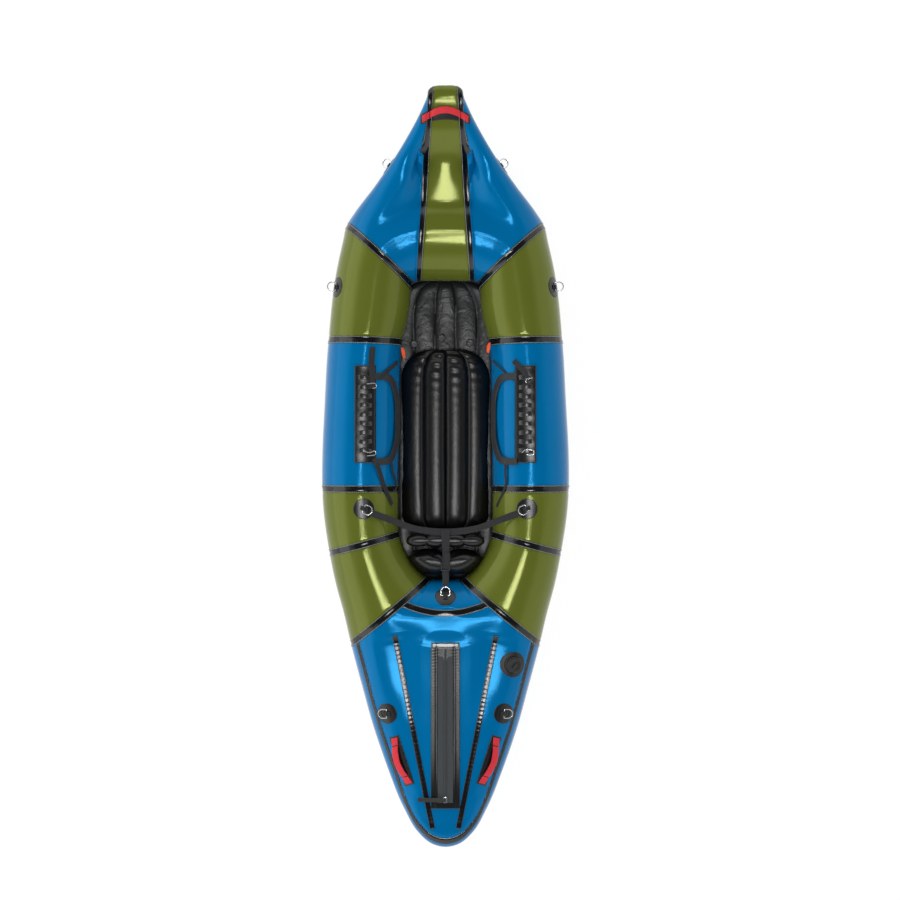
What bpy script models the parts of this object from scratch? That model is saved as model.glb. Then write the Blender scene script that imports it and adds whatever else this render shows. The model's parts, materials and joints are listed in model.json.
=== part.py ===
# Inflatable one-person packraft, bow towards +Y, starboard towards +X, flat floor on the ground at Z 0.
# The hull is a ring of fabric sleeves around the cockpit, drawn out into an upturned bow and a long stern.

import math

import bmesh
import bpy
from mathutils import Vector
from mathutils.bvhtree import BVHTree

for old_object in list(bpy.data.objects):
    bpy.data.objects.remove(old_object, do_unlink=True)

# Hull, in metres
hull_length = 2.80
hull_beam = 0.92
tube_diameter = 0.285
cockpit_length = 1.115
cockpit_width = 0.351
cockpit_shift = 0.147          # middle of the cockpit, forward of amidships
bow_rise = 0.22                # height of the bow's tip over the tube's middle
stern_rise = 0.045
bow_crest = 0.178              # from the cockpit's front edge to the top of the front tube
stern_crest = 0.140
bow_valley = 0.030             # dip between the front tube and the raised bow
hull_fabric = 0.0010
floor_fabric = 0.0015
floor_margin = 0.030           # floor sheet beyond the tube's lowest line
tape_width = 0.022
tape_thickness = 0.0008
clearance = 0.0003
tape_gap = 0.0006              # glue line between a seam tape and the panels under it

# Hull, in shares and counts
bow_power = 4
stern_power = 8
side_power = 2
bow_taper_share = 0.18
stern_taper_share = 0.25
valley_place_share = 0.31
side_seam_degrees = 36         # height of the seam between stern deck and underside, at the quarters
tip_seam_degrees = 15          # the same at the stern's tip
ring_count = 20                # points round a tube

# Sections from the bow's tip down the port side to the stern's tip: outer half breadth, outer station,
# inner half width and inner station, then how much of the end's upturned shape the section has.
section_shares = [
    (0.000, 1.000, 0.000, 1.000, 1.00),
    (0.056, 1.000, 0.295, 1.000, 1.00),
    (0.112, 0.996, 0.579, 0.998, 0.99),
    (0.153, 0.966, 0.608, 0.997, 0.93),
    (0.353, 0.847, 0.638, 0.995, 0.62),
    (0.562, 0.752, 0.667, 0.993, 0.35),
    (0.739, 0.680, 0.697, 0.991, 0.10),
    (0.799, 0.651, 0.726, 0.987, 0.00),
    (0.831, 0.609, 0.733, 0.934, 0.00),
    (0.871, 0.551, 0.743, 0.874, 0.00),
    (0.908, 0.482, 0.768, 0.791, 0.00),
    (0.932, 0.413, 0.832, 0.695, 0.00),
    (0.948, 0.350, 0.916, 0.602, 0.00),
    (0.984, 0.149, 0.976, 0.104, 0.00),
    (1.000, -0.054, 1.000, -0.400, 0.00),
    (0.980, -0.136, 1.000, -0.559, 0.00),
    (0.940, -0.221, 0.979, -0.692, 0.00),
    (0.888, -0.303, 0.821, -0.824, 0.00),
    (0.823, -0.384, 0.611, -0.924, 0.00),
    (0.767, -0.461, 0.379, -0.997, 0.00),
    (0.675, -0.577, 0.284, -0.999, 0.20),
    (0.570, -0.696, 0.211, -0.999, 0.42),
    (0.458, -0.802, 0.147, -1.000, 0.62),
    (0.337, -0.897, 0.095, -1.000, 0.80),
    (0.225, -0.960, 0.053, -1.000, 0.92),
    (0.108, -0.992, 0.023, -1.000, 0.98),
    (0.000, -1.000, 0.000, -1.000, 1.00),
]
last_row = len(section_shares) - 1
loop_count = 2 * last_row
bow_rows = 7                   # sections before the corner seam

# Seams, as section numbers on the port side
strip_seam_index = 2
corner_seam_index = 7
forward_seam_index = 12
aft_seam_index = 14
hip_seam_index = 16
quarter_seam_index = 19

tube_radius = tube_diameter / 2
keel_height = floor_fabric + clearance + tape_thickness + tape_gap

blue = (0.000, 0.141, 0.353, 1)
green = (0.107, 0.127, 0.021, 1)
black = (0.010, 0.010, 0.011, 1)
red = (0.760, 0.030, 0.045, 1)
grey = (0.030, 0.031, 0.033, 1)
steel = (0.620, 0.620, 0.610, 1)

materials = {}


def material(name, colour, roughness, metallic):
    if name not in materials:
        made = bpy.data.materials.new(name)
        made.use_nodes = True
        shader = made.node_tree.nodes["Principled BSDF"]
        shader.inputs["Base Color"].default_value = colour
        shader.inputs["Roughness"].default_value = roughness
        shader.inputs["Metallic"].default_value = metallic
        made.diffuse_color = colour
        materials[name] = made
    return materials[name]


def blue_fabric():
    return material("blue_coated_nylon", blue, 0.35, 0)


def green_fabric():
    return material("green_coated_nylon", green, 0.35, 0)


def black_fabric():
    return material("black_coated_nylon", black, 0.40, 0)


def black_webbing():
    return material("black_webbing", grey, 0.75, 0)


def red_webbing():
    return material("red_webbing", red, 0.65, 0)


def bright_steel():
    return material("polished_steel", steel, 0.15, 1)


def black_plastic():
    return material("black_plastic", black, 0.45, 0)


def place_mesh(name, shape, finish):
    # Turns a bmesh into an object that shows, with smooth sides and sharp edges.
    shape.normal_update()
    bmesh.ops.recalc_face_normals(shape, faces=shape.faces)
    mesh = bpy.data.meshes.new(name)
    shape.to_mesh(mesh)
    shape.free()
    mesh.materials.append(finish)
    mesh.shade_smooth()
    mesh.set_sharp_from_angle(angle=math.radians(40))
    made = bpy.data.objects.new(name, mesh)
    bpy.context.scene.collection.objects.link(made)
    return made


def as_guide(made):
    made.hide_render = True
    made.display_type = "WIRE"
    return made


# The hull's surface

def mix(first, second, share):
    return first + (second - first) * share


def read_section(number):
    # Sections run round the whole boat; the starboard half mirrors the port half.
    number = number % loop_count
    row = number if number <= last_row else loop_count - number
    side = -1 if number <= last_row else 1
    outer_x, outer_y, inner_x, inner_y, end_share = section_shares[row]
    outer = Vector((side * outer_x * hull_beam / 2, outer_y * hull_length / 2))
    inner = Vector((side * inner_x * cockpit_width / 2, cockpit_shift + inner_y * cockpit_length / 2))
    fore = row <= bow_rows
    seam_row = section_shares[corner_seam_index if fore else quarter_seam_index]
    seam_outer = Vector((seam_row[0] * hull_beam / 2, seam_row[1] * hull_length / 2))
    seam_inner = Vector((seam_row[2] * cockpit_width / 2, cockpit_shift + seam_row[3] * cockpit_length / 2))
    crest = (outer - inner).length / 2
    if end_share > 0:
        crest = mix((seam_outer - seam_inner).length / 2, bow_crest if fore else stern_crest, end_share)
    return {
        "outer": outer,
        "inner": inner,
        "length": (outer - inner).length,
        "crest": crest,
        "rise": (bow_rise if fore else stern_rise) * end_share,
        "taper": (bow_taper_share if fore else stern_taper_share) * end_share,
        "power": mix(side_power, bow_power if fore else stern_power, end_share),
        "valley": bow_valley * end_share if fore else 0,
        "seam_angle": side_seam_degrees if fore else mix(side_seam_degrees, tip_seam_degrees, end_share),
    }


def ring_angle(section, step):
    # Step 0 is the crest, a quarter is the outer edge, a half the bottom, three quarters the cockpit's edge.
    quarter = ring_count // 4
    step = step % ring_count
    seam_step = quarter - quarter * side_seam_degrees // 90
    if step <= seam_step:
        return math.radians(90 - (90 - section["seam_angle"]) * step / seam_step)
    if step <= quarter:
        return math.radians(section["seam_angle"] * (quarter - step) / (quarter - seam_step))
    return math.radians(90 - 90 * step / quarter)


def surface_point(section, angle):
    reach = math.cos(angle)
    upward = math.sin(angle)
    if reach < 0:
        along = section["crest"] * (1 + reach)
        height = tube_radius * (1 + upward)
    else:
        along = section["crest"] + (section["length"] - section["crest"]) * reach
        swell = (1 - section["taper"] * reach) * math.sqrt(max(0, 1 - reach ** section["power"]))
        height = tube_radius * (1 + math.copysign(swell, upward)) + section["rise"] * reach ** 2
        if upward > 0 and reach < 2 * valley_place_share:
            dip = math.sin(math.pi * reach / (2 * valley_place_share)) ** 2
            height -= section["valley"] * dip
    plan = section["inner"].lerp(section["outer"], along / section["length"])
    return Vector((plan.x, plan.y, keel_height + height))


sections = [read_section(number) for number in range(loop_count)]
rings = [[surface_point(section, ring_angle(section, step)) for step in range(ring_count)]
         for section in sections]


def ring_of(number):
    return rings[number % loop_count]


def even_direction(before, here, after):
    # The direction of travel through a point, with both sides given the same weight.
    return ((after - here).normalized() + (here - before).normalized()).normalized()


def around_direction(number, step):
    ring = ring_of(number)
    return even_direction(ring[(step - 1) % ring_count], ring[step % ring_count], ring[(step + 1) % ring_count])


def surface_normal(number, step):
    place = step % ring_count
    across = even_direction(ring_of(number - 1)[place], ring_of(number)[place], ring_of(number + 1)[place])
    return around_direction(number, step).cross(across).normalized()


def seam_frame(number):
    # Points, normals and sideways directions along a seam that rings the tube.
    frame = []
    for step in range(ring_count):
        point = ring_of(number)[step]
        normal = surface_normal(number, step)
        frame.append((point, normal, normal.cross(around_direction(number, step)).normalized()))
    return frame


def seam_column(number, offset, steps):
    frame = seam_frame(number)
    points = [frame[step % ring_count][0] + frame[step % ring_count][2] * offset for step in steps]
    normals = [frame[step % ring_count][1] for step in steps]
    return points, normals


def panel_grid(first, last, steps):
    # Columns of points from one seam to the next, straight under each seam's tape.
    half_tape = tape_width / 2
    start_side, _ = seam_column(first, 0, steps)
    sign = 1
    probe, _ = seam_column(first, half_tape, steps)
    ahead = ring_of(first + 1)[steps[0] % ring_count]
    if (probe[0] - ahead).length > (start_side[0] - ahead).length:
        sign = -1
    columns = [seam_column(first, sign * clearance, steps), seam_column(first, sign * half_tape, steps)]
    end_columns = [seam_column(last, -sign * half_tape, steps), seam_column(last, -sign * clearance, steps)]
    half_span = (last - first) / 2
    for number in range(first + 1, last):
        start_share = max(0, 1 - (number - first) / half_span)
        end_share = max(0, 1 - (last - number) / half_span)
        points = []
        for place, step in enumerate(steps):
            shift_start = columns[1][0][place] - ring_of(first)[step % ring_count]
            shift_end = end_columns[0][0][place] - ring_of(last)[step % ring_count]
            shift = shift_start * start_share + shift_end * end_share
            points.append(ring_of(number)[step % ring_count] + shift)
        columns.append((points, [surface_normal(number, step) for step in steps]))
    columns += end_columns
    return columns


def inset_rows(columns, at_start, at_end):
    # Draws the first and last points of each column back from the seam along the tube.
    trimmed = []
    for points, normals in columns:
        points = list(points)
        if at_start:
            points[0] = points[0] + (points[1] - points[0]).normalized() * clearance
        if at_end:
            points[-1] = points[-1] + (points[-2] - points[-1]).normalized() * clearance
        trimmed.append((points, normals))
    return trimmed


def shell_shape(columns, outside, inside, closed):
    # A skin between two offsets of a grid of points; each cell is cut along the same diagonal.
    shape = bmesh.new()
    layers = []
    for offset in (outside, inside):
        layers.append([[shape.verts.new(point + normal * offset) for point, normal in zip(points, normals)]
                       for points, normals in columns])
    outer, inner = layers
    rows = len(columns[0][0])
    spans = rows if closed else rows - 1
    for column in range(len(columns) - 1):
        for row in range(spans):
            after = (row + 1) % rows
            for layer in layers:
                shape.faces.new((layer[column][row], layer[column + 1][row], layer[column + 1][after]))
                shape.faces.new((layer[column][row], layer[column + 1][after], layer[column][after]))
    for column in (0, len(columns) - 1):
        for row in range(spans):
            after = (row + 1) % rows
            shape.faces.new((outer[column][row], outer[column][after], inner[column][after],
                             inner[column][row]))
    if not closed:
        for row in (0, rows - 1):
            for column in range(len(columns) - 1):
                shape.faces.new((outer[column][row], outer[column + 1][row], inner[column + 1][row],
                                 inner[column][row]))
    return shape


full_ring = list(range(ring_count))
quarter_ring = ring_count // 4
deck_front_step = -1                                            # just inboard of the crest
deck_edge_step = quarter_ring - quarter_ring * side_seam_degrees // 90
bottom_step = 2 * quarter_ring

panels = {
    "bow_centre_strip": (-strip_seam_index, strip_seam_index, full_ring, green_fabric),
    "bow_left_panel": (strip_seam_index, corner_seam_index, full_ring, blue_fabric),
    "bow_right_panel": (-corner_seam_index, -strip_seam_index, full_ring, blue_fabric),
    "front_left_tube": (corner_seam_index, forward_seam_index, full_ring, green_fabric),
    "front_right_tube": (-forward_seam_index, -corner_seam_index, full_ring, green_fabric),
    "side_left_tube": (forward_seam_index, aft_seam_index, full_ring, blue_fabric),
    "side_right_tube": (-aft_seam_index, -forward_seam_index, full_ring, blue_fabric),
    "hip_left_tube": (aft_seam_index, hip_seam_index, full_ring, green_fabric),
    "hip_right_tube": (-hip_seam_index, -aft_seam_index, full_ring, green_fabric),
    "quarter_left_tube": (hip_seam_index, quarter_seam_index, full_ring, green_fabric),
    "quarter_right_tube": (-quarter_seam_index, -hip_seam_index, full_ring, green_fabric),
    "rear_cross_panel": (quarter_seam_index, loop_count - quarter_seam_index,
                         list(range(bottom_step, ring_count + deck_front_step + 1)), blue_fabric),
    "stern_deck_panel": (quarter_seam_index, loop_count - quarter_seam_index,
                         list(range(deck_front_step, deck_edge_step + 1)), blue_fabric),
    "stern_hull_panel": (quarter_seam_index, loop_count - quarter_seam_index,
                         list(range(deck_edge_step, bottom_step + 1)), blue_fabric),
}
panel_columns = {}


def build_panels():
    for name, (first, last, steps, finish) in panels.items():
        closed = steps is full_ring
        columns = panel_grid(first, last, steps)
        if not closed:
            columns = inset_rows(columns, True, True)
        panel_columns[name] = (columns, closed)
        place_mesh(name, shell_shape(columns, 0, -hull_fabric, closed), finish())


def build_seam_tapes():
    seams = {
        "corner_seam_tape_left": corner_seam_index,
        "corner_seam_tape_right": -corner_seam_index,
        "forward_seam_tape_left": forward_seam_index,
        "forward_seam_tape_right": -forward_seam_index,
        "aft_seam_tape_left": aft_seam_index,
        "aft_seam_tape_right": -aft_seam_index,
        "quarter_seam_tape_left": quarter_seam_index,
        "quarter_seam_tape_right": -quarter_seam_index,
    }
    for name, number in seams.items():
        columns = [seam_column(number, offset, full_ring) for offset in (-tape_width / 2, 0, tape_width / 2)]
        place_mesh(name, shell_shape(columns, tape_gap + tape_thickness, tape_gap, True), black_fabric())


def build_floor_sheet():
    # The floor lies flat under the tubes' lowest line, with a margin welded outside it.
    shape = bmesh.new()
    layers = []
    for height in (0, floor_fabric):
        layer = []
        for section in sections:
            share = (section["crest"] + floor_margin) / section["length"]
            plan = section["inner"].lerp(section["outer"], share)
            layer.append(shape.verts.new((plan.x, plan.y, height)))
        layers.append(layer)
    for layer in layers:
        shape.faces.new(layer)
    for number in range(loop_count):
        after = (number + 1) % loop_count
        shape.faces.new((layers[0][number], layers[0][after], layers[1][after], layers[1][number]))
    place_mesh("floor_sheet", shape, black_fabric())


build_panels()
build_seam_tapes()
build_floor_sheet()

# Fittings, in metres
patch_thickness = 0.0015
patch_bite = 0.002             # depth a patch is drawn under the fabric before it is trimmed to it
trim_depth = 0.007
drop_height = 0.30             # start of a plumb line over the hull
probe_reach = 0.012            # how far apart the hull is felt for its slope
ring_patch_diameter = 0.076
ring_wire = 0.004
ring_width = 0.033             # between the middles of the ring's legs
ring_leg = 0.015
ring_corner = 0.003
keeper_width = 0.016
keeper_wall = 0.0012
keeper_foot = 0.006
keeper_play = 0.0006           # round the ring's bar
ring_lean_degrees = 70         # side rings stand out from the hull at this angle
patch_cells = 4
arch_steps = 6
ring_arc_steps = 8


def build_tree():
    # The panels with their seams closed, so that nothing aimed at the hull slips through a seam.
    points = []
    cells = []
    surfaces = list(panel_columns.values())
    for port_seam in (strip_seam_index, corner_seam_index, forward_seam_index, aft_seam_index, hip_seam_index,
                      quarter_seam_index):
        for number in (port_seam, -port_seam):
            surfaces.append(([seam_column(number, offset, full_ring) for offset in (-clearance, clearance)], True))
    deck = panel_columns["stern_deck_panel"][0]
    for neighbour, deck_place, place in (("rear_cross_panel", 0, -1), ("stern_hull_panel", -1, 0)):
        joint = []
        for (deck_points, normals), (points_beside, _) in zip(deck, panel_columns[neighbour][0]):
            joint.append(([deck_points[deck_place], points_beside[place]], [normals[deck_place]] * 2))
        surfaces.append((joint, False))
    for columns, closed in surfaces:
        rows = len(columns[0][0])
        start = len(points)
        for column, _ in columns:
            points += column
        for column in range(len(columns) - 1):
            for row in range(rows if closed else rows - 1):
                after = (row + 1) % rows
                here = start + column * rows
                there = here + rows
                cells.append((here + row, there + row, there + after))
                cells.append((here + row, there + after, here + after))
    return BVHTree.FromPolygons(points, cells)


hull_tree = build_tree()


def land(start, direction):
    # Where a straight line from outside meets the hull, with the outward normal.
    place, normal, _, _ = hull_tree.ray_cast(start, direction)
    if place is None:
        return None, None
    if normal.dot(direction) > 0:
        normal = -normal
    return place, normal


def plumb(x, y):
    return land(Vector((x, y, tube_diameter + bow_rise + drop_height)), Vector((0, 0, -1)))


def trimmer(names, offset, near=None, reach=3):
    # The outer face of a panel, or of a row of panels, grown by an offset: a cutter for what lies on it.
    columns = [column for name in names.split() for column in panel_columns[name][0]]
    if panel_columns[names.split()[0]][1]:
        steps = len(columns[0][0])
        middle = len(columns) // 2
        nearest = min(range(steps), key=lambda step: (columns[middle][0][step] - near).length)
        window = [(nearest + shift) % steps for shift in range(-reach, reach + 1)]
        columns = [([points[step] for step in window], [normals[step] for step in window])
                   for points, normals in columns]
    return as_guide(place_mesh("trim_hull", shell_shape(columns, offset, -trim_depth, False), black_fabric()))


def carve(made, cutters, operation="DIFFERENCE"):
    for cutter in cutters:
        step = made.modifiers.new("carve", "BOOLEAN")
        step.operation = operation
        step.object = cutter
        step.solver = "EXACT"


def smooth_normal(start, direction, bar):
    # The hull's normal over a fitting's width, free of the facet that it happens to meet.
    first = (bar - direction * bar.dot(direction)).normalized() * probe_reach
    second = direction.cross(first)
    felt = [land(start + step, direction)[0] for step in (first, -first, second, -second)]
    if None in felt:
        return land(start, direction)[1]
    normal = (felt[0] - felt[1]).cross(felt[2] - felt[3]).normalized()
    return -normal if normal.dot(direction) > 0 else normal


def seat_frame(start, direction, bar):
    # Local axes of a fitting: along its bar, across it, and out of the hull.
    place, _ = land(start, direction)
    normal = smooth_normal(start, direction, bar)
    across = normal.cross(bar).normalized()
    along = across.cross(normal).normalized()
    return place, along, across, normal


def patch_columns(frame, length, width, cells_along, cells_across, is_round, bow=0):
    # A grid of points on the hull under a patch; bow is how far its middle is drawn across.
    place, along, across, normal = frame
    columns = []
    for column in range(cells_along + 1):
        points = []
        for row in range(cells_across + 1):
            first = 2 * column / cells_along - 1
            second = 2 * row / cells_across - 1
            if is_round:
                first, second = first * math.sqrt(1 - second ** 2 / 2), second * math.sqrt(1 - first ** 2 / 2)
            sideways = second * width / 2 + bow * (1 - first ** 2)
            start = place + along * (first * length / 2) + across * sideways + normal * drop_height
            hit, _ = land(start, -normal)
            points.append(hit)
        columns.append((points, [normal] * len(points)))
    return columns


def local_point(frame, along, across, out):
    place, first, second, normal = frame
    return place + first * along + second * across + normal * out


def prism(frame, outline, start, end):
    # An outline in the across and out directions, drawn along the bar from start to end.
    shape = bmesh.new()
    ends = [[shape.verts.new(local_point(frame, reach, across, out)) for across, out in outline]
            for reach in (start, end)]
    for layer in ends:
        shape.faces.new(layer)
    count = len(outline)
    for number in range(count):
        after = (number + 1) % count
        shape.faces.new((ends[0][number], ends[0][after], ends[1][after], ends[1][number]))
    return shape


bar_height = patch_thickness + ring_wire / 2 + keeper_play
keeper_inner = ring_wire / 2 + keeper_play
keeper_outer = keeper_inner + keeper_wall


def keeper_outline():
    # A fold of webbing over the bar, with a foot on each side.
    foot_reach = keeper_outer + keeper_foot
    foot_top = patch_thickness + keeper_wall
    sunk = patch_thickness - patch_bite / 2
    outline = [(-foot_reach, sunk), (-foot_reach, foot_top), (-keeper_outer, foot_top)]
    for step in range(arch_steps + 1):
        angle = math.pi * (1 - step / arch_steps)
        outline.append((keeper_outer * math.cos(angle), bar_height + keeper_outer * math.sin(angle)))
    outline += [(keeper_outer, foot_top), (foot_reach, foot_top), (foot_reach, sunk), (keeper_inner, sunk)]
    for step in range(arch_steps + 1):
        angle = math.pi * step / arch_steps
        outline.append((keeper_inner * math.cos(angle), bar_height + keeper_inner * math.sin(angle)))
    outline.append((-keeper_inner, sunk))
    return outline


def ring_outline():
    # The D-ring's centre line: straight bar, two legs and a half round.
    half = ring_width / 2
    line = [(-half + ring_corner, 0), (half - ring_corner, 0), (half, ring_corner)]
    for step in range(ring_arc_steps + 1):
        angle = math.pi * step / ring_arc_steps
        line.append((half * math.cos(angle), ring_leg + half * math.sin(angle)))
    line.append((-half, ring_corner))
    return line


def wire_curve(name, points, diameter, resolution, finish, cyclic):
    curve = bpy.data.curves.new(name, "CURVE")
    curve.dimensions = "3D"
    curve.bevel_depth = diameter / 2
    curve.bevel_resolution = resolution
    curve.use_fill_caps = not cyclic
    spline = curve.splines.new("POLY")
    spline.points.add(len(points) - 1)
    spline.use_cyclic_u = cyclic
    for knot, point in zip(spline.points, points):
        knot.co = (point.x, point.y, point.z, 1)
    curve.materials.append(finish)
    made = bpy.data.objects.new(name, curve)
    bpy.context.scene.collection.objects.link(made)
    return made


def report_axis(name, point, axis):
    print("axis %s pos %.5f %.5f %.5f dir %.5f %.5f %.5f" % (name, *point, *axis))


def build_ring_set(name, frame, lean_degrees, carriers):
    # A round glued patch with its keeper, and the D-ring that swings in the keeper.
    place, along, across, normal = frame
    columns = patch_columns(frame, ring_patch_diameter, ring_patch_diameter, patch_cells, patch_cells, True)
    patch = place_mesh(name + "_patch", shell_shape(columns, patch_thickness, -patch_bite, False), black_fabric())
    keeper = place_mesh(name + "_keeper", prism(frame, keeper_outline(), -keeper_width / 2, keeper_width / 2),
                        black_webbing())
    cutters = [trimmer(carrier, clearance, place) for carrier in carriers]
    carve(patch, [as_guide(keeper)], "UNION")
    carve(patch, cutters)
    lean = math.radians(lean_degrees)
    reach = across * math.cos(lean) + normal * math.sin(lean)
    centre = place + normal * bar_height
    points = [along * first + reach * second for first, second in ring_outline()]
    ring = wire_curve(name, points, ring_wire, 1, bright_steel(), True)
    ring.location = centre
    report_axis(name, centre, along)
    out = along.cross(reach)
    return centre + reach * (ring_leg + ring_width / 2), reach, out if out.dot(normal) > 0 else -out


tube_middle = keel_height + tube_radius


def side_start(shares, degrees, side):
    # A line that meets the side of the hull at this height angle.
    direction = Vector((side * math.cos(math.radians(degrees)), 0, math.sin(math.radians(degrees))))
    return Vector((*hull_place(shares, side), tube_middle)) + direction * drop_height, -direction


# Places of the D-rings, in shares of half the beam and half the length
bow_ring_shares = (0.196, 0.802)
front_ring_shares = (0.587, 0.4836)
hip_ring_shares = (0.652, -0.1018)
stern_ring_shares = (0.4665, -0.6407)
rear_ring_setback = 0.0555     # behind the cockpit's rear end
bow_ring_degrees = 38
front_ring_degrees = 24
flat_lean_degrees = 14
hip_lean_degrees = 11          # of a ring that the back strap pulls on
rear_lean_degrees = 38

# Back support strap's route from near the starboard hip ring to the middle, in shares of half the beam,
# half the length and the tube's diameter
strap_route_shares = ((0.4348, -0.1314, 0.982), (0.2609, -0.1529, 0.929), (0.1087, -0.1614, 0.908),
                      (0.000, -0.1629, 0.901))
strap_route = [(x * hull_beam / 2, y * hull_length / 2, keel_height + z * tube_diameter)
               for x, y, z in strap_route_shares]


def hull_place(shares, side=1):
    # A place in plan from its shares of half the beam and half the length.
    return side * shares[0] * hull_beam / 2, shares[1] * hull_length / 2


strap_anchors = {}


def build_rings():
    for word, side in (("left", -1), ("right", 1)):
        fore = Vector((0, 1, 0)) * side
        start, direction = side_start(bow_ring_shares, bow_ring_degrees, side)
        build_ring_set("bow_%s_ring" % word, seat_frame(start, direction, -fore), ring_lean_degrees,
                       ["bow_%s_panel" % word])
        start, direction = side_start(front_ring_shares, front_ring_degrees, side)
        build_ring_set("front_%s_ring" % word, seat_frame(start, direction, -fore), ring_lean_degrees,
                       ["front_%s_tube" % word])
        down = Vector((0, 0, -1))
        hip = hull_place(hip_ring_shares, side)
        above = Vector((*hip, tube_diameter + drop_height))
        pull = Vector((side * strap_route[0][0] - hip[0], strap_route[0][1] - hip[1], 0))
        strap_anchors[word] = build_ring_set("hip_%s_ring" % word, seat_frame(above, down, pull.cross(-down)),
                                             hip_lean_degrees, ["hip_%s_tube" % word])
        above = Vector((*hull_place(stern_ring_shares, side), tube_diameter + drop_height))
        build_ring_set("stern_%s_ring" % word, seat_frame(above, down, -fore), flat_lean_degrees,
                       ["stern_deck_panel"])
    rear_station = cockpit_shift - cockpit_length / 2 - rear_ring_setback
    above = Vector((0, rear_station, tube_diameter + drop_height))
    strap_anchors["rear"] = build_ring_set("rear_ring", seat_frame(above, Vector((0, 0, -1)), Vector((1, 0, 0))),
                                           rear_lean_degrees, ["rear_cross_panel", "stern_deck_panel"])


build_rings()

# Webbing and handles, in metres
webbing_width = 0.025
webbing_thickness = 0.0025
handle_patch_width = 0.036
handle_patch_overhang = 0.006
handle_lift = 0.004            # under the grip at its sewn ends
handle_arch = 0.009            # more at its middle
handle_gap = 0.0006
handle_steps = 10
handle_patch_cells = 15
tab_steps = 3
tab_bite = 0.0016              # depth of a tab's sewn end in its patch
sewn_share = 0.16              # of the handle's length, at each end
bow_handle_shares = (0.1826, 0.9111)           # its end, in half beams and half lengths
bow_handle_bulge = 0.036
bow_patch_bulge = 0.018
stern_handle_fore_shares = (0.4065, -0.7043)
stern_handle_aft_shares = (0.288, -0.8243)
stern_handle_bulge = 0.012


def ribbon_shape(stations):
    # A flat band through stations of middle point, width direction, thickness direction, width and thickness.
    shape = bmesh.new()
    frames = []
    for middle, wide, thick, width, thickness in stations:
        corners = []
        for first, second in ((-1, -1), (1, -1), (1, 1), (-1, 1)):
            corners.append(shape.verts.new(middle + wide * (first * width / 2) + thick * (second * thickness / 2)))
        frames.append(corners)
    shape.faces.new(frames[0])
    shape.faces.new(frames[-1])
    # Opposite sides are cut along the same diagonal, so that a twist never brings them together.
    for frame, following in zip(frames, frames[1:]):
        for first, second in ((0, 1), (3, 2), (1, 2), (0, 3)):
            shape.faces.new((frame[first], frame[second], following[second]))
            shape.faces.new((frame[first], following[second], following[first]))
    return shape


def guide(name, shape):
    return as_guide(place_mesh(name, shape, black_plastic()))


def build_handle(name, start, end, bulge, patch_bulge, carriers):
    # Webbing sewn down at both ends; the loose grip between them swings up about its lower edge.
    start = Vector(start)
    end = Vector(end)
    base = patch_thickness + webbing_thickness / 2
    down = Vector((0, 0, -1))
    plan_chord = (end - start).normalized()
    side = Vector((-plan_chord.y, plan_chord.x, 0))
    places = [plumb(*start.lerp(end, share))[0] for share in (sewn_share, 1 - sewn_share)]
    chord = (places[1] - places[0]).normalized()

    def station(share, lift):
        plan = start.lerp(end, share) + side.xy * (bulge * math.sin(math.pi * share))
        high = Vector((plan.x, plan.y, tube_diameter + bow_rise + drop_height))
        wide = smooth_normal(high, down, chord).cross(chord).normalized()
        thick = chord.cross(wide).normalized()
        return land(high, down)[0] + thick * lift, wide, thick, webbing_width, webbing_thickness

    grip = []
    for step in range(handle_steps + 1):
        arch = handle_arch * math.sin(math.pi * step / handle_steps)
        grip.append(station(mix(sewn_share, 1 - sewn_share, step / handle_steps), base + handle_lift + arch))
    place_mesh(name, ribbon_shape(grip), red_webbing())
    middle = start.lerp(end, 0.5)
    above = Vector((middle.x, middle.y, tube_diameter + bow_rise + drop_height))
    frame = seat_frame(above, down, chord)
    length = (end - start).length + 2 * handle_patch_overhang
    bow = patch_bulge if frame[2].dot(side) > 0 else -patch_bulge
    columns = patch_columns(frame, length, handle_patch_width, handle_patch_cells, 4, False, bow)
    patch = place_mesh(name + "_patch", shell_shape(columns, patch_thickness, -patch_bite, False), black_fabric())
    gap_share = handle_gap / (end - start).length
    for near, far in ((0, sewn_share - gap_share), (1, 1 - sewn_share + gap_share)):
        tab = []
        for step in range(tab_steps + 1):
            rise = (step / tab_steps) ** 2
            tab.append(station(mix(near, far, step / tab_steps),
                               base - tab_bite + (handle_lift + tab_bite) * rise))
        carve(patch, [guide(name + "_tab", ribbon_shape(tab))], "UNION")
    carve(patch, [trimmer(carriers, clearance, frame[0])])
    hinge_points = []
    for middle, wide, thick, width, thickness in (grip[0], grip[-1]):
        inboard = wide if wide.dot(side) < 0 else -wide
        hinge_points.append(middle - thick * (thickness / 2) + inboard * (width / 2))
    report_axis(name, hinge_points[0].lerp(hinge_points[1], 0.5), chord)


def build_handles():
    build_handle("bow_handle", hull_place(bow_handle_shares, -1), hull_place(bow_handle_shares),
                 bow_handle_bulge, bow_patch_bulge, "bow_right_panel bow_centre_strip bow_left_panel")
    build_handle("stern_right_handle", hull_place(stern_handle_fore_shares), hull_place(stern_handle_aft_shares),
                 stern_handle_bulge, 0, "stern_deck_panel")
    build_handle("stern_left_handle", hull_place(stern_handle_aft_shares, -1),
                 hull_place(stern_handle_fore_shares, -1), stern_handle_bulge, 0, "stern_deck_panel")


build_handles()

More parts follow.
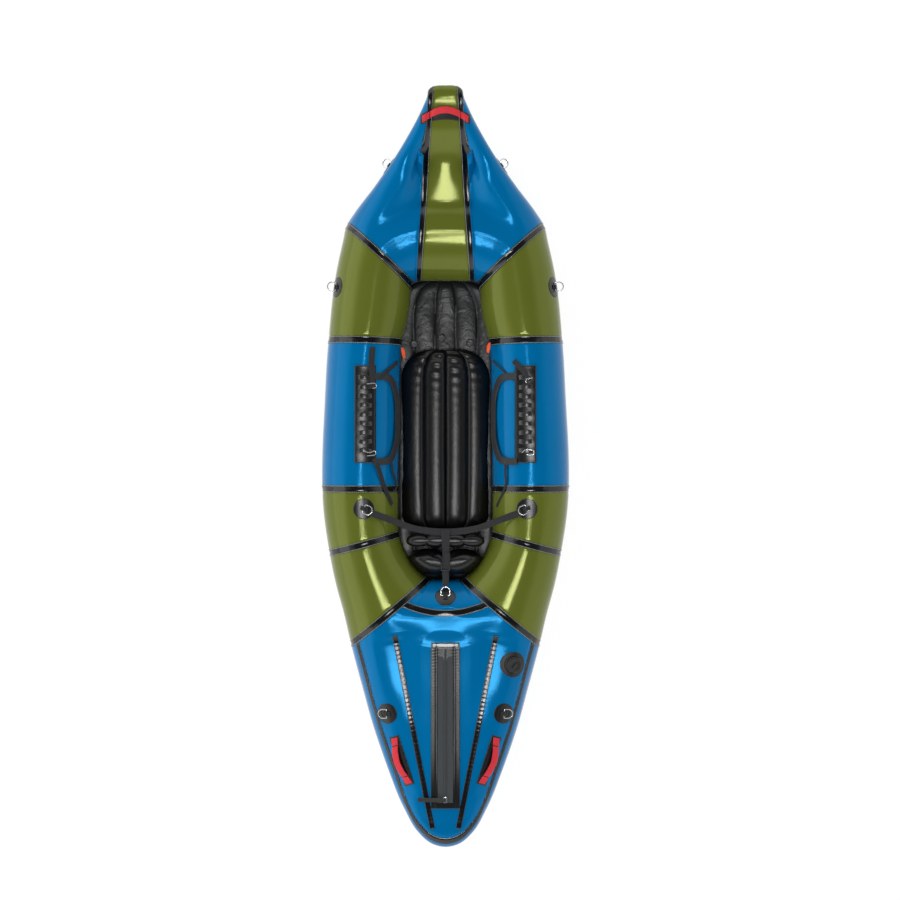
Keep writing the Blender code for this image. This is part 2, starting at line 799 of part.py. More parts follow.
# Cargo zip on the stern deck, in metres
zip_start = -0.4771 * hull_length / 2          # slider's middle when the zip is open
zip_end = -0.8657 * hull_length / 2            # and shut, as it lies
zip_patch_margin = 0.034       # of the patch beyond each end
zip_tape_margin = 0.008
zip_patch_length = zip_start - zip_end + 2 * zip_patch_margin
zip_tape_length = zip_start - zip_end + 2 * zip_tape_margin
zip_patch_width = 0.106
zip_patch_thickness = 0.0020
zip_cells = 14
zip_tape_width = 0.055
zip_tape_thickness = 0.0012
chain_width = 0.006
chain_top = 0.0066             # over the deck
chain_depth = 0.006
slider_length = 0.022
slider_width = 0.014
slider_wall = 0.0020
slider_play = 0.0005
lip_height = 0.0022            # of the slider's sides, beside the chain
pin_radius = 0.0010
pin_play = 0.0003
ear_thickness = 0.0015
ear_width = 0.004
ear_height = 0.0075
barrel_wall = 0.0012
pull_length = 0.100
pull_width = 0.016
pull_thickness = 0.0020
pull_rise = 0.0042             # of its middle over the deck, wherever the slider runs
round_steps = 12


def box_shape(centre, along, across, out, sizes):
    shape = bmesh.new()
    bmesh.ops.create_cube(shape, size=1)
    for vert in shape.verts:
        share = vert.co.copy()
        vert.co = centre + along * (share.x * sizes[0]) + across * (share.y * sizes[1]) + out * (share.z * sizes[2])
    return shape


def rod_shape(start, end, radius, steps):
    shape = bmesh.new()
    axis = (end - start).normalized()
    first = axis.orthogonal().normalized()
    second = axis.cross(first)
    layers = []
    for place in (start, end):
        layers.append([shape.verts.new(place + first * (radius * math.cos(2 * math.pi * step / steps))
                                       + second * (radius * math.sin(2 * math.pi * step / steps)))
                       for step in range(steps)])
    for layer in layers:
        shape.faces.new(layer)
    for step in range(steps):
        after = (step + 1) % steps
        shape.faces.new((layers[0][step], layers[0][after], layers[1][after], layers[1][step]))
    return shape


def build_zip():
    side = Vector((1, 0, 0))
    down = Vector((0, 0, -1))
    above = Vector((0, (zip_start + zip_end) / 2, tube_diameter + drop_height))
    frame = seat_frame(above, down, Vector((0, 1, 0)))
    columns = patch_columns(frame, zip_patch_length, zip_patch_width, zip_cells, 6, False)
    patch = place_mesh("zip_patch", shell_shape(columns, zip_patch_thickness, -patch_bite, False), black_fabric())
    carve(patch, [trimmer("stern_deck_panel", clearance)])
    over_patch = guide("over_patch", shell_shape(columns, zip_patch_thickness + clearance, -trim_depth, False))
    tape_columns = patch_columns(frame, zip_tape_length, zip_tape_width, zip_cells, 3, False)
    tape_top = zip_patch_thickness + zip_tape_thickness + clearance
    tape = place_mesh("zip_tape", shell_shape(tape_columns, tape_top, -patch_bite / 2, False), black_webbing())
    open_end = plumb(0, zip_start)[0]
    rest = plumb(0, zip_end)[0]
    along = (rest - open_end).normalized()
    out = side.cross(along)
    if out.z < 0:
        out = -out
    sag = [(plumb(0, mix(zip_start, zip_end, step / 10))[0] - open_end).dot(out) for step in range(11)]
    print("zip sag %.4f to %.4f, travel %.4f" % (min(sag), max(sag), (rest - open_end).length))
    chain_length = (rest - open_end).length + slider_length
    chain_middle = open_end.lerp(rest, 0.5) + out * (chain_top - chain_depth / 2)
    chain = guide("zip_chain", box_shape(chain_middle, along, side, out, (chain_length, chain_width, chain_depth)))
    carve(tape, [chain], "UNION")
    carve(tape, [over_patch])
    # The slider lies at the shut end, astride the chain, with the pull's pin between two ears.
    floor = chain_top + slider_play
    body = place_mesh("zip_slider", box_shape(rest + out * (floor + slider_wall / 2), along, side, out,
                                              (slider_length, slider_width, slider_wall)), bright_steel())
    parts = []
    for sign in (-1, 1):
        shift = sign * ((slider_width - slider_wall) / 2 - clearance)
        centre = rest + side * shift + out * (floor + (slider_wall - lip_height) / 2)
        parts.append(guide("slider_lip", box_shape(centre, along, side, out,
                                                   (slider_length - slider_wall, slider_wall, lip_height))))
    ear_reach = (pull_width + ear_thickness) / 2 + slider_play
    for sign in (-1, 1):
        centre = rest + along * (sign * ear_reach) + out * (floor + (slider_wall + ear_height) / 2)
        parts.append(guide("slider_ear", box_shape(centre, along, side, out,
                                                   (ear_thickness, ear_width, ear_height))))
    pin = rest + out * (floor + slider_wall / 2 + ear_height - pin_radius * 2)
    parts.append(guide("slider_pin", rod_shape(pin - along * ear_reach, pin + along * ear_reach, pin_radius,
                                               round_steps)))
    carve(body, parts, "UNION")
    report_axis("zip_slider", rest, -along)
    # The pull is a strap that lies to port, folded round the pin.
    hole = pin_radius + pin_play
    barrel = hole + barrel_wall
    half_width = along * (pull_width / 2)
    pull = place_mesh("zip_pull", rod_shape(pin - half_width, pin + half_width, barrel, round_steps), black_webbing())
    pin_level = (pin - rest).dot(out)
    tip_levels = []
    for runner in (rest.lerp(open_end, step / 10) for step in range(11)):
        for share in (0.4, 0.55, 0.7, 0.85, 1):
            deck_level = (plumb(-pull_length * share, runner.y)[0] - runner).dot(out)
            tip_levels.append(pin_level + (deck_level + pull_rise - pin_level) / share)
    tip = rest - side * pull_length + out * max(tip_levels)
    print("zip pull tip %.4f over the slider's foot" % max(tip_levels))
    lie = (tip - pin).normalized()
    lie = (lie - along * lie.dot(along)).normalized()
    strap_middle = pin + lie * (hole + (barrel_wall + pull_length) / 2)
    strap = box_shape(strap_middle, lie, along, lie.cross(along), (pull_length, pull_width, pull_thickness))
    carve(pull, [guide("pull_strap", strap)], "UNION")
    carve(pull, [guide("pull_bore", rod_shape(pin - half_width * 2, pin + half_width * 2, hole, round_steps))])
    report_axis("zip_pull", pin, along)


build_zip()

# Inflation valve, in metres
valve_shares = (0.5413, -0.5114)
valve_flange_diameter = 0.094
valve_collar_diameter = 0.044
valve_collar_height = 0.009    # over the deck
valve_cap_diameter = 0.062
valve_cap_height = 0.0105
valve_play = 0.0005
cap_notch_width = 0.007
cap_notch_depth = 0.0025
cap_notch_count = 6
valve_steps = 24


def build_valve():
    down = Vector((0, 0, -1))
    frame = seat_frame(Vector((*hull_place(valve_shares), tube_diameter + drop_height)), down, Vector((0, 1, 0)))
    place, along, across, normal = frame
    columns = patch_columns(frame, valve_flange_diameter, valve_flange_diameter, patch_cells, patch_cells, True)
    base = place_mesh("valve_base", shell_shape(columns, patch_thickness, -patch_bite, False), black_plastic())
    collar = rod_shape(place, place + normal * valve_collar_height, valve_collar_diameter / 2, valve_steps)
    carve(base, [guide("valve_collar", collar)], "UNION")
    carve(base, [trimmer("stern_deck_panel", clearance)])
    # The cap fits over the collar and turns on it.
    low = place + normal * (patch_thickness + 2 * valve_play)
    high = low + normal * valve_cap_height
    cap = place_mesh("valve_cap", rod_shape(low, high, valve_cap_diameter / 2, valve_steps), black_plastic())
    hollow = rod_shape(place, place + normal * (valve_collar_height + valve_play),
                       valve_collar_diameter / 2 + valve_play, valve_steps)
    notches = [guide("cap_hollow", hollow)]
    for number in range(cap_notch_count):
        angle = 2 * math.pi * number / cap_notch_count
        outward = along * math.cos(angle) + across * math.sin(angle)
        sideways = normal.cross(outward)
        notch = box_shape(high + outward * (valve_cap_diameter / 2), outward, sideways, normal,
                          (cap_notch_width, cap_notch_width, cap_notch_depth * 2))
        notches.append(guide("cap_notch", notch))
    carve(cap, notches)
    report_axis("valve_cap", high, normal)


build_valve()

# Lacing patches on the side tubes, in metres
lacing_patch_length = 0.358
lacing_patch_width = 0.077
lacing_patch_shares = (0.6413, 0.1464)
lacing_rung_count = 9
lacing_rung_pitch = 0.0335
lacing_rung_length = 0.060
lacing_rung_width = 0.006
lacing_rung_height = 0.0045    # over the tube


def build_lacing_patches():
    # Welded to the side tubes, with a row of stitched rungs for the thigh strap's cord.
    for word, side in (("left", -1), ("right", 1)):
        tube = bpy.data.objects["side_%s_tube" % word]
        above = Vector((*hull_place(lacing_patch_shares, side), tube_diameter + drop_height))
        frame = seat_frame(above, Vector((0, 0, -1)), Vector((0, 1, 0)))
        place, along, across, normal = frame
        columns = patch_columns(frame, lacing_patch_length, lacing_patch_width, 4, 4, False)
        joined = [guide("lacing_patch", shell_shape(columns, patch_thickness, -patch_bite, False))]
        for number in range(lacing_rung_count):
            shift = (number - (lacing_rung_count - 1) / 2) * lacing_rung_pitch
            rows = patch_columns((place + along * shift, along, across, normal), lacing_rung_width,
                                 lacing_rung_length, 1, 3, False)
            joined.append(guide("lacing_rung", shell_shape(rows, lacing_rung_height, -patch_bite / 2, False)))
        carve(tube, joined, "UNION")


build_lacing_patches()

# Thigh straps on the inner slopes of the side tubes, in metres; routes in degrees inboard of the crest
thigh_thickness = 0.005
thigh_lift = 0.0039
thigh_end_width = 0.024
thigh_middle_width = 0.034
thigh_half_reach = 0.1575      # from the band's middle to its ends, along the boat
thigh_setback = 0.0175         # of its middle behind the lacing patch's
thigh_end_degrees = 20
thigh_middle_degrees = 66
thigh_steps = 16
tube_axis_share = 0.680        # middle of the side tubes, in half beams


def draped_band(route, lift, widths, thickness):
    # Stations of a band laid on the tube along a route of hull points with their normals.
    raised = [place + normal * lift for place, normal in route]
    stations = []
    for number, (place, normal) in enumerate(route):
        before = raised[max(0, number - 1)]
        after = raised[min(len(raised) - 1, number + 1)]
        heading = (after - before).normalized()
        wide = normal.cross(heading).normalized()
        stations.append((raised[number], wide, heading.cross(wide).normalized(), widths[number], thickness))
    return stations


def build_thigh_straps():
    for word, side in (("left", -1), ("right", 1)):
        route = []
        widths = []
        middle_station = hull_place(lacing_patch_shares)[1] - thigh_setback
        for step in range(thigh_steps + 1):
            turn = math.pi * step / thigh_steps
            swell = math.sin(turn) ** 0.5 if 0 < step < thigh_steps else 0
            degrees = mix(thigh_end_degrees, thigh_middle_degrees, swell)
            station = middle_station - thigh_half_reach * math.cos(turn)
            lean = math.radians(degrees)
            outward = Vector((-side * math.sin(lean), 0, math.cos(lean)))
            start = Vector((side * tube_axis_share * hull_beam / 2, station, tube_middle)) + outward * drop_height
            place, _ = land(start, -outward)
            route.append((place, outward))
            widths.append(mix(thigh_end_width, thigh_middle_width, swell))
        lift = thigh_lift + thigh_thickness / 2
        place_mesh("thigh_strap_%s" % word, ribbon_shape(draped_band(route, lift, widths, thigh_thickness)),
                   black_webbing())


build_thigh_straps()

# Back support strap, in metres: from one hip ring across the cockpit to the other, with a leg to the rear ring
loop_radius = 0.0040           # of the strap's middle round a ring's wire
loop_shift = 0.0035            # of the bend, off the wire towards the ring's bar
loop_width = 0.020
loop_steps = 6
tail_length = 0.030
junction_reach = 0.045         # of the sewn triangle behind the cross strap
junction_width = 0.050
ladder_share = -0.904          # of half the cockpit's length, from its middle
ladder_length = 0.030
ladder_width = 0.028
ladder_height = 0.006
ladder_bar = 0.004


def cockpit_station(share):
    return cockpit_shift + share * cockpit_length / 2


def strap_loop(anchor, target):
    # The bend round a ring's far end, from the tail's tip to the start of the main strap.
    centre, reach, out = anchor
    pull = (target - centre).normalized()
    rise = (out - pull * out.dot(pull)).normalized()
    bend = centre - pull * loop_shift
    under = loop_radius - webbing_thickness - 2 * clearance
    line = [bend + pull * tail_length + rise * under, bend + pull * (2 * loop_radius) - rise * (loop_radius - under)]
    for step in range(loop_steps + 1):
        angle = math.pi * step / loop_steps
        line.append(bend - pull * (loop_radius * math.sin(angle)) - rise * (loop_radius * math.cos(angle)))
    line.append(bend + pull * tail_length + rise * loop_radius)
    return line, rise.cross(pull)


def strap_stations(line, across, widths):
    stations = []
    for number, point in enumerate(line):
        before = line[max(0, number - 1)]
        after = line[min(len(line) - 1, number + 1)]
        heading = (after - before).normalized()
        wide = (across[number] - heading * across[number].dot(heading)).normalized()
        stations.append((point, wide, heading.cross(wide).normalized(), widths[number], webbing_thickness))
    return stations


def build_back_strap():
    upward = Vector((0, 0, 1))
    middle = [Vector((-x, y, z)) for x, y, z in strap_route] + [Vector(place) for place in reversed(strap_route[:-1])]
    left, left_axis = strap_loop(strap_anchors["left"], middle[0])
    right, right_axis = strap_loop(strap_anchors["right"], middle[-1])
    line = left + middle + list(reversed(right))
    across = [left_axis] * len(left)
    for number in range(len(left), len(left) + len(middle)):
        across.append(upward.cross(line[number + 1] - line[number - 1]).normalized())
    across += [-right_axis] * len(right)
    widths = [loop_width] * len(left) + [webbing_width] * len(middle) + [loop_width] * len(right)
    strap = place_mesh("back_strap", ribbon_shape(strap_stations(line, across, widths)), black_webbing())
    start = Vector(strap_route[-1])
    sewn = start - Vector((0, junction_reach, 0))
    rear, rear_axis = strap_loop(strap_anchors["rear"], sewn)
    leg = rear + [sewn, start]
    leg_widths = [loop_width] * len(rear) + [webbing_width, junction_width]
    leg_shape = ribbon_shape(strap_stations(leg, [rear_axis] * len(leg), leg_widths))
    share = (cockpit_station(ladder_share) - rear[-1].y) / (sewn.y - rear[-1].y)
    ladder_place = rear[-1].lerp(sewn, share)
    heading = (sewn - rear[-1]).normalized()
    side = Vector((1, 0, 0))
    over = side.cross(heading)
    buckle = guide("ladder_lock", box_shape(ladder_place, heading, side, over,
                                            (ladder_length, ladder_width, ladder_height)))
    slots = []
    for sign in (-1, 1):
        slot_middle = ladder_place + heading * (sign * ladder_length / 4) + over * (ladder_height / 2)
        slots.append(guide("ladder_slot", box_shape(
            slot_middle, heading, side, over,
            (ladder_length / 2 - 1.5 * ladder_bar, webbing_width - ladder_bar, ladder_height / 2))))
    carve(buckle, slots)
    carve(strap, [guide("strap_leg", leg_shape), buckle], "UNION")


build_back_strap()

# Soft pieces inside the cockpit, in metres or in shares of it and of the tube
soft_gap = 0.0006              # between pieces that rest on each other
mat_thickness = 0.158 * tube_diameter
mat_reach = 0.028              # of the mat under the tubes
mat_fold_depth = 0.004
mat_fold_count = 6
seat_shares = (-0.6726, 0.5471)                # its ends, in half cockpit lengths
seat_thickness = 0.3088 * tube_diameter
seat_half_width = 0.473 * cockpit_width
seat_channel_count = 4
seat_channel_depth = 0.016
seat_front_round = 0.110
seat_side_gap = 0.004
backrest_shares = (-0.7803, -0.687)
backrest_half_width = 0.4217 * cockpit_width
backrest_height = 0.863 * tube_diameter
backrest_channel_depth = 0.009
bolster_shares = (-0.9722, -0.7928)
bolster_height = 0.828 * tube_diameter
pad_edge_share = 0.30          # of a pad's thickness, left square at its rim
pad_cells = 8                  # along a backrest or bolster
mat_cells = 12
seat_cells = 14
channel_cells = 5              # across each channel


def cockpit_half_width(station):
    # Half the cockpit's clear breadth at a station.
    points = [section["inner"] for section in sections[:last_row + 1]]
    for before, after in zip(points, points[1:]):
        if before.y >= station > after.y:
            return -mix(before.x, after.x, (before.y - station) / (before.y - after.y))
    return 0


def pad_shape(plan, bottom, top):
    # A closed pad from a grid of plan points and functions for the heights of its two faces.
    shape = bmesh.new()
    layers = []
    for height in (bottom, top):
        layers.append([[shape.verts.new((x, y, height(across, along))) for x, y, across, along in row]
                       for row in plan])
    low, high = layers
    rows = len(plan)
    count = len(plan[0])
    for layer in layers:
        for row in range(rows - 1):
            for place in range(count - 1):
                shape.faces.new((layer[row][place], layer[row][place + 1], layer[row + 1][place + 1],
                                 layer[row + 1][place]))
    rim = [(0, place) for place in range(count)] + [(row, count - 1) for row in range(1, rows)]
    rim += [(rows - 1, place) for place in range(count - 2, -1, -1)] + [(row, 0) for row in range(rows - 2, 0, -1)]
    for here, there in zip(rim, rim[1:] + rim[:1]):
        shape.faces.new((low[here[0]][here[1]], low[there[0]][there[1]], high[there[0]][there[1]],
                         high[here[0]][here[1]]))
    return shape


def rim_round(across, along, across_power, along_power):
    # 1 in the middle of a pad, falling to 0 at its rim.
    return (1 - abs(across) ** across_power) ** 0.5 * (1 - abs(along) ** along_power) ** 0.5


def channel_wave(across, count):
    return abs(math.sin(math.pi * count * (across + 1) / 2)) ** 0.6


def build_floor_mat():
    base = floor_fabric + soft_gap
    front = cockpit_shift + cockpit_length / 2 + mat_reach / 2
    back = cockpit_shift - cockpit_length / 2 - mat_reach / 2
    plan = []
    for row in range(mat_cells + 1):
        along = 2 * row / mat_cells - 1
        station = mix(back, front, row / mat_cells)
        inside = max(back + 2 * mat_reach, min(front - 2 * mat_reach, station))
        half = (cockpit_half_width(inside) + mat_reach) * (1 - abs(along) ** 8 * 0.25)
        plan.append([(half * place, station, place, along)
                     for place in (column * 2 / (2 * mat_fold_count) - 1 for column in range(2 * mat_fold_count + 1))])
    rim = mat_thickness * pad_edge_share

    def top(across, along):
        fold = abs(math.cos(math.pi * mat_fold_count * (across + 1) / 2))
        full = rim + (mat_thickness - rim) * rim_round(across, along, 10, 30)
        return base + full - mat_fold_depth * fold * rim_round(across, along, 10, 30)

    place_mesh("floor_mat", pad_shape(plan, lambda across, along: base, top), black_fabric())


def build_seat():
    seat_stations = [cockpit_station(share) for share in seat_shares]
    base = floor_fabric + mat_thickness + 2 * soft_gap
    columns = seat_channel_count * channel_cells
    plan = []
    for row in range(seat_cells + 1):
        along = 2 * row / seat_cells - 1
        station = mix(seat_stations[0], seat_stations[1], row / seat_cells)
        half = min(seat_half_width, cockpit_half_width(min(station, seat_stations[1])) - seat_side_gap)
        line = []
        for column in range(columns + 1):
            across = 2 * column / columns - 1
            front_share = max(0, (station - seat_stations[1] + seat_front_round * 2) / (seat_front_round * 2))
            drawn_back = seat_front_round * abs(across) ** 3 * front_share ** 2
            line.append((half * across, station - drawn_back, across, along))
        plan.append(line)
    rim = seat_thickness * pad_edge_share

    def top(across, along):
        full = rim + (seat_thickness - rim) * rim_round(across, along, 8, 8)
        crease = 1 - channel_wave(across, seat_channel_count)
        return base + full - seat_channel_depth * crease * rim_round(0, along, 8, 8)

    place_mesh("seat_cushion", pad_shape(plan, lambda across, along: base, top), black_fabric())


def build_backrest():
    # Four upright channels: its faces look forward and aft.
    backrest_stations = [cockpit_station(share) for share in backrest_shares]
    base = floor_fabric + mat_thickness + 2 * soft_gap
    columns = seat_channel_count * channel_cells
    plan = []
    for row in range(pad_cells + 1):
        along = 2 * row / pad_cells - 1
        height = mix(base, backrest_height, row / pad_cells)
        plan.append([(backrest_half_width * (2 * column / columns - 1), height, 2 * column / columns - 1, along)
                     for column in range(columns + 1)])
    half_depth = (backrest_stations[1] - backrest_stations[0]) / 2
    middle = (backrest_stations[1] + backrest_stations[0]) / 2

    def face(sign):
        def depth(across, along):
            full = pad_edge_share + (1 - pad_edge_share) * rim_round(across, along, 6, 6)
            crease = (1 - channel_wave(across, seat_channel_count)) * rim_round(across, along, 6, 6)
            return middle + sign * (half_depth * full - backrest_channel_depth * crease)
        return depth

    shape = pad_shape(plan, face(-1), face(1))
    for vert in shape.verts:
        vert.co = (vert.co.x, vert.co.z, vert.co.y)
    place_mesh("backrest", shape, black_fabric())


def build_bolster():
    bolster_stations = [cockpit_station(share) for share in bolster_shares]
    base = floor_fabric + mat_thickness + 2 * soft_gap
    plan = []
    for row in range(pad_cells + 1):
        along = 2 * row / pad_cells - 1
        station = mix(bolster_stations[0], bolster_stations[1], row / pad_cells)
        half = cockpit_half_width(station) - 3 * seat_side_gap
        plan.append([(half * (column / pad_cells - 1), station, column / pad_cells - 1, along)
                     for column in range(2 * pad_cells + 1)])

    def top(across, along):
        full = pad_edge_share + (1 - pad_edge_share) * rim_round(across, along, 4, 4)
        return base + (bolster_height - base) * full

    place_mesh("back_bolster", pad_shape(plan, lambda across, along: base, top), black_fabric())


build_floor_mat()
build_seat()
build_backrest()
build_bolster()
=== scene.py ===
import json
import math

import bmesh
import bpy
import numpy as np
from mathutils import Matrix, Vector
from mathutils.bvhtree import BVHTree

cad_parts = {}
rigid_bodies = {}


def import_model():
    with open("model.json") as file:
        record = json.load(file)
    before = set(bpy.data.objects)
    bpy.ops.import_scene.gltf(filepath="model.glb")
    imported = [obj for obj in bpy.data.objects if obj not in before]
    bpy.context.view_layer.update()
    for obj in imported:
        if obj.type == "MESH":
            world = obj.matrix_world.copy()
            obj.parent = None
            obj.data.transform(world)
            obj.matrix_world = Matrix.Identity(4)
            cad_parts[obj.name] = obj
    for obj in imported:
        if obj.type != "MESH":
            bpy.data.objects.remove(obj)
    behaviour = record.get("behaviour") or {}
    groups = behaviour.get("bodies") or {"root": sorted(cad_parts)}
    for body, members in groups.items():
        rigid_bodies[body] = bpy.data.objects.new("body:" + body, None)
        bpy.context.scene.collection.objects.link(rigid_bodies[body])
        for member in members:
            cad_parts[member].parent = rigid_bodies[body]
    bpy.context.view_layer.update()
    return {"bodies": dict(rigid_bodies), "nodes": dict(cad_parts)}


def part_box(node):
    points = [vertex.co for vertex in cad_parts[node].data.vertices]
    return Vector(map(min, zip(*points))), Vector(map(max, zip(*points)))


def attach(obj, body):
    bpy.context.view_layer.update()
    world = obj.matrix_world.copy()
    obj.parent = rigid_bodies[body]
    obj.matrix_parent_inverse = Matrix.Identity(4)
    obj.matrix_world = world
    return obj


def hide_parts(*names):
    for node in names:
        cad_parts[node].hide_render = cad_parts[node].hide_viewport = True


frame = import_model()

nodes = frame["nodes"]
bodies = frame["bodies"]
scene = bpy.context.scene
sides = (("Left", -1), ("Right", 1))

# Colours and materials
materials = {}
otherSlot = "black_coated_nylon"


def hexColour(text):
    # sRGB hex to the linear values that a socket takes
    shares = [int(text[place:place + 2], 16) / 255 for place in (1, 3, 5)]
    return tuple(s / 12.92 if s <= 0.04045 else ((s + 0.055) / 1.055) ** 2.4 for s in shares) + (1.0,)


def addNode(tree, kind, inputs=None, **settings):
    node = tree.nodes.new("ShaderNode" + kind)
    for key, value in settings.items():
        setattr(node, key, value)
    for key, value in (inputs or {}).items():
        if isinstance(value, bpy.types.NodeSocket):
            tree.links.new(value, node.inputs[key])
        else:
            node.inputs[key].default_value = value
    return node


def startMaterial(name, sockets):
    made = bpy.data.materials.new(name)
    made.use_nodes = True
    shader = made.node_tree.nodes["Principled BSDF"]
    for key, value in sockets.items():
        shader.inputs[key].default_value = value
    materials[name] = made
    return made.node_tree, shader


def waveScale(millimetres):
    # Blender's wave bands repeat every 2 pi / 20 units at a scale of 1
    return math.pi / (10 * millimetres / 1000)


def mottle(tree, shader, colour, other, scale):
    # slow, cloudy change between two close colours
    place = addNode(tree, "TexCoord").outputs["Object"]
    cloud = addNode(tree, "TexNoise", {"Vector": place, "Scale": scale, "Detail": 4}).outputs["Fac"]
    blend = addNode(tree, "Mix", {"Factor": cloud, "A": hexColour(colour), "B": hexColour(other)}, data_type="RGBA")
    tree.links.new(blend.outputs["Result"], shader.inputs["Base Color"])
    return blend.outputs["Result"]


# Polyurethane-coated nylon: a smooth film over a fine plain weave gives a clear, slightly soft highlight
coatedNylon = {
    "threadMillimetres": 1.6,      # real threads are 0.3 mm apart; drawn coarser so that they show
    "weaveHeight": 0.00003, "weaveStrength": 0.35, "roughness": 0.13, "cloudScale": 5,
}


def makeCoatedNylon(name, colour, other, tint="#FFFFFF", roughness=coatedNylon["roughness"]):
    # the pigmented film tints its own highlight
    kit = coatedNylon
    tree, shader = startMaterial(name, {"Roughness": roughness, "Specular Tint": hexColour(tint)})
    mottle(tree, shader, colour, other, kit["cloudScale"])
    along = addNode(tree, "UVMap", uv_map="cloth").outputs["UV"]
    scale = waveScale(kit["threadMillimetres"])
    warp, weft = (addNode(tree, "TexWave", {"Vector": along, "Scale": scale}, bands_direction=way).outputs["Fac"]
                  for way in "XY")
    weave = addNode(tree, "Math", {0: warp, 1: weft}, operation="MULTIPLY").outputs["Value"]
    bump = addNode(tree, "Bump", {"Height": weave, "Distance": kit["weaveHeight"], "Strength": kit["weaveStrength"]})
    tree.links.new(bump.outputs["Normal"], shader.inputs["Normal"])


makeCoatedNylon("blueCoatedNylon", "#006CA5", "#00659C", "#50BFFF")
makeCoatedNylon("greenCoatedNylon", "#626B27", "#5A6322", "#E9F2A0")
makeCoatedNylon("blackCoatedNylon", "#101113", "#151618", roughness=0.26)
makeCoatedNylon("floorNylon", "#1D1E20", "#26272A", roughness=0.5)

# Glued seam tape: black film with a row of pale stitches near each edge, whose pale colour also stands in for a
# painted highlight catching the tape's edges; UV x runs along it, y across, in metres
seamTape = {
    "colour": "#0E0F11", "other": "#131416", "thread": "#9BA39C", "roughness": 0.15, "cloudScale": 30,
    "stitchMillimetres": 7.0,      # drawn longer than the real 4 mm, so that the dots show
    "stitchWidth": 0.0017, "stitchShare": 0.70, "stitchHeight": 0.0004, "stitchEdge": 0.0016,
    "width": 0.026, "bowWidth": 0.028, "lift": 0.0012, "thickness": 0.0009,
}


def makeTapeFinish():
    kit = seamTape
    tree, shader = startMaterial("sewnSeamTape", {"Roughness": kit["roughness"]})
    base = mottle(tree, shader, kit["colour"], kit["other"], kit["cloudScale"])
    place = addNode(tree, "UVMap", uv_map="cloth").outputs["UV"]
    parts = addNode(tree, "SeparateXYZ", {"Vector": place}).outputs
    # two lines of pale thread, one near each edge; they are real stitches and also a painted highlight along the
    # tape's edges
    line = kit["width"] / 2 - kit["stitchEdge"]
    offset = addNode(tree, "Math", {0: parts["Y"]}, operation="ABSOLUTE").outputs["Value"]
    away = addNode(tree, "Math", {0: offset, 1: line}, operation="SUBTRACT").outputs["Value"]
    gap = addNode(tree, "Math", {0: away}, operation="ABSOLUTE").outputs["Value"]
    onLine = addNode(tree, "Math", {0: gap, 1: kit["stitchWidth"] / 2}, operation="LESS_THAN").outputs["Value"]
    # and each line broken into dashes
    pitch = 1000 / kit["stitchMillimetres"]
    count = addNode(tree, "Math", {0: parts["X"], 1: pitch}, operation="MULTIPLY").outputs["Value"]
    within = addNode(tree, "Math", {0: count}, operation="FRACT").outputs["Value"]
    dash = addNode(tree, "Math", {0: within, 1: kit["stitchShare"]}, operation="LESS_THAN").outputs["Value"]
    stitchAndEdgeHighlight = addNode(tree, "Math", {0: onLine, 1: dash}, operation="MULTIPLY").outputs["Value"]
    # the pale thread colour here is partly the stitches' own colour and partly a painted edge highlight
    blend = addNode(tree, "Mix", {"Factor": stitchAndEdgeHighlight, "A": base, "B": hexColour(kit["thread"])}, data_type="RGBA")
    tree.links.new(blend.outputs["Result"], shader.inputs["Base Color"])
    bump = addNode(tree, "Bump", {"Height": stitchAndEdgeHighlight, "Distance": kit["stitchHeight"], "Strength": 0.6})
    tree.links.new(bump.outputs["Normal"], shader.inputs["Normal"])


makeTapeFinish()

# Nylon webbing: woven in ribs across the band, matt, with a faint sheen
webbing = {"ribMillimetres": 2.2, "ribWander": 0.4, "cordMillimetres": 1.6, "ribHeight": 0.0003}


def makeWebbing(name, colour, other, roughness=0.75):
    kit = webbing
    tree, shader = startMaterial(name, {"Roughness": roughness, "Sheen Weight": 0.15, "Sheen Roughness": 0.4})
    along = addNode(tree, "UVMap", uv_map="cloth").outputs["UV"]
    ribs = addNode(tree, "TexWave", {"Vector": along, "Scale": waveScale(kit["ribMillimetres"]),
                                     "Distortion": kit["ribWander"]}, bands_direction="X").outputs["Fac"]
    cords = addNode(tree, "TexWave", {"Vector": along, "Scale": waveScale(kit["cordMillimetres"])},
                    bands_direction="Y").outputs["Fac"]
    weave = addNode(tree, "Math", {0: ribs, 1: cords}, operation="MULTIPLY").outputs["Value"]
    blend = addNode(tree, "Mix", {"Factor": weave, "A": hexColour(other), "B": hexColour(colour)}, data_type="RGBA")
    tree.links.new(blend.outputs["Result"], shader.inputs["Base Color"])
    bump = addNode(tree, "Bump", {"Height": weave, "Distance": kit["ribHeight"], "Strength": 0.7})
    tree.links.new(bump.outputs["Normal"], shader.inputs["Normal"])


makeWebbing("redNylonWebbing", "#F4222F", "#C8142A", 0.6)
makeWebbing("blackNylonWebbing", "#2A2B2E", "#141517")
makeWebbing("orangeNylonWebbing", "#FF6A30", "#E04E18", 0.6)
makeWebbing("greyZipTape", "#454A4D", "#2F3336", 0.7)

# Other finishes, with the scales of their clouds and grain and the grain's height
otherFinishes = {
    # moulded acetal: satin black with the fine grain of a spark-eroded mould
    "mouldedBlackAcetal": {"sockets": {"Roughness": 0.42, "IOR": 1.48}, "colours": ("#141516", "#1B1C1D"),
                           "cloud": 40, "grain": 1400, "detail": 2, "height": 0.00006, "strength": 0.5},
    # webbing with a glossy coat, as on the laced rungs
    "glossyWebbing": {"sockets": {"Roughness": 0.32, "Coat Weight": 0.4, "Coat Roughness": 0.15},
                      "colours": ("#101112", "#1B1C1D"), "cloud": 60, "grain": 0},
    # foam-padded strap in a soft knitted cover
    "paddedBlackStrap": {"sockets": {"Roughness": 0.55, "Sheen Weight": 0.1}, "colours": ("#151618", "#1E1F22"),
                         "cloud": 60, "grain": 70, "detail": 4, "height": 0.0025, "strength": 0.6},
}
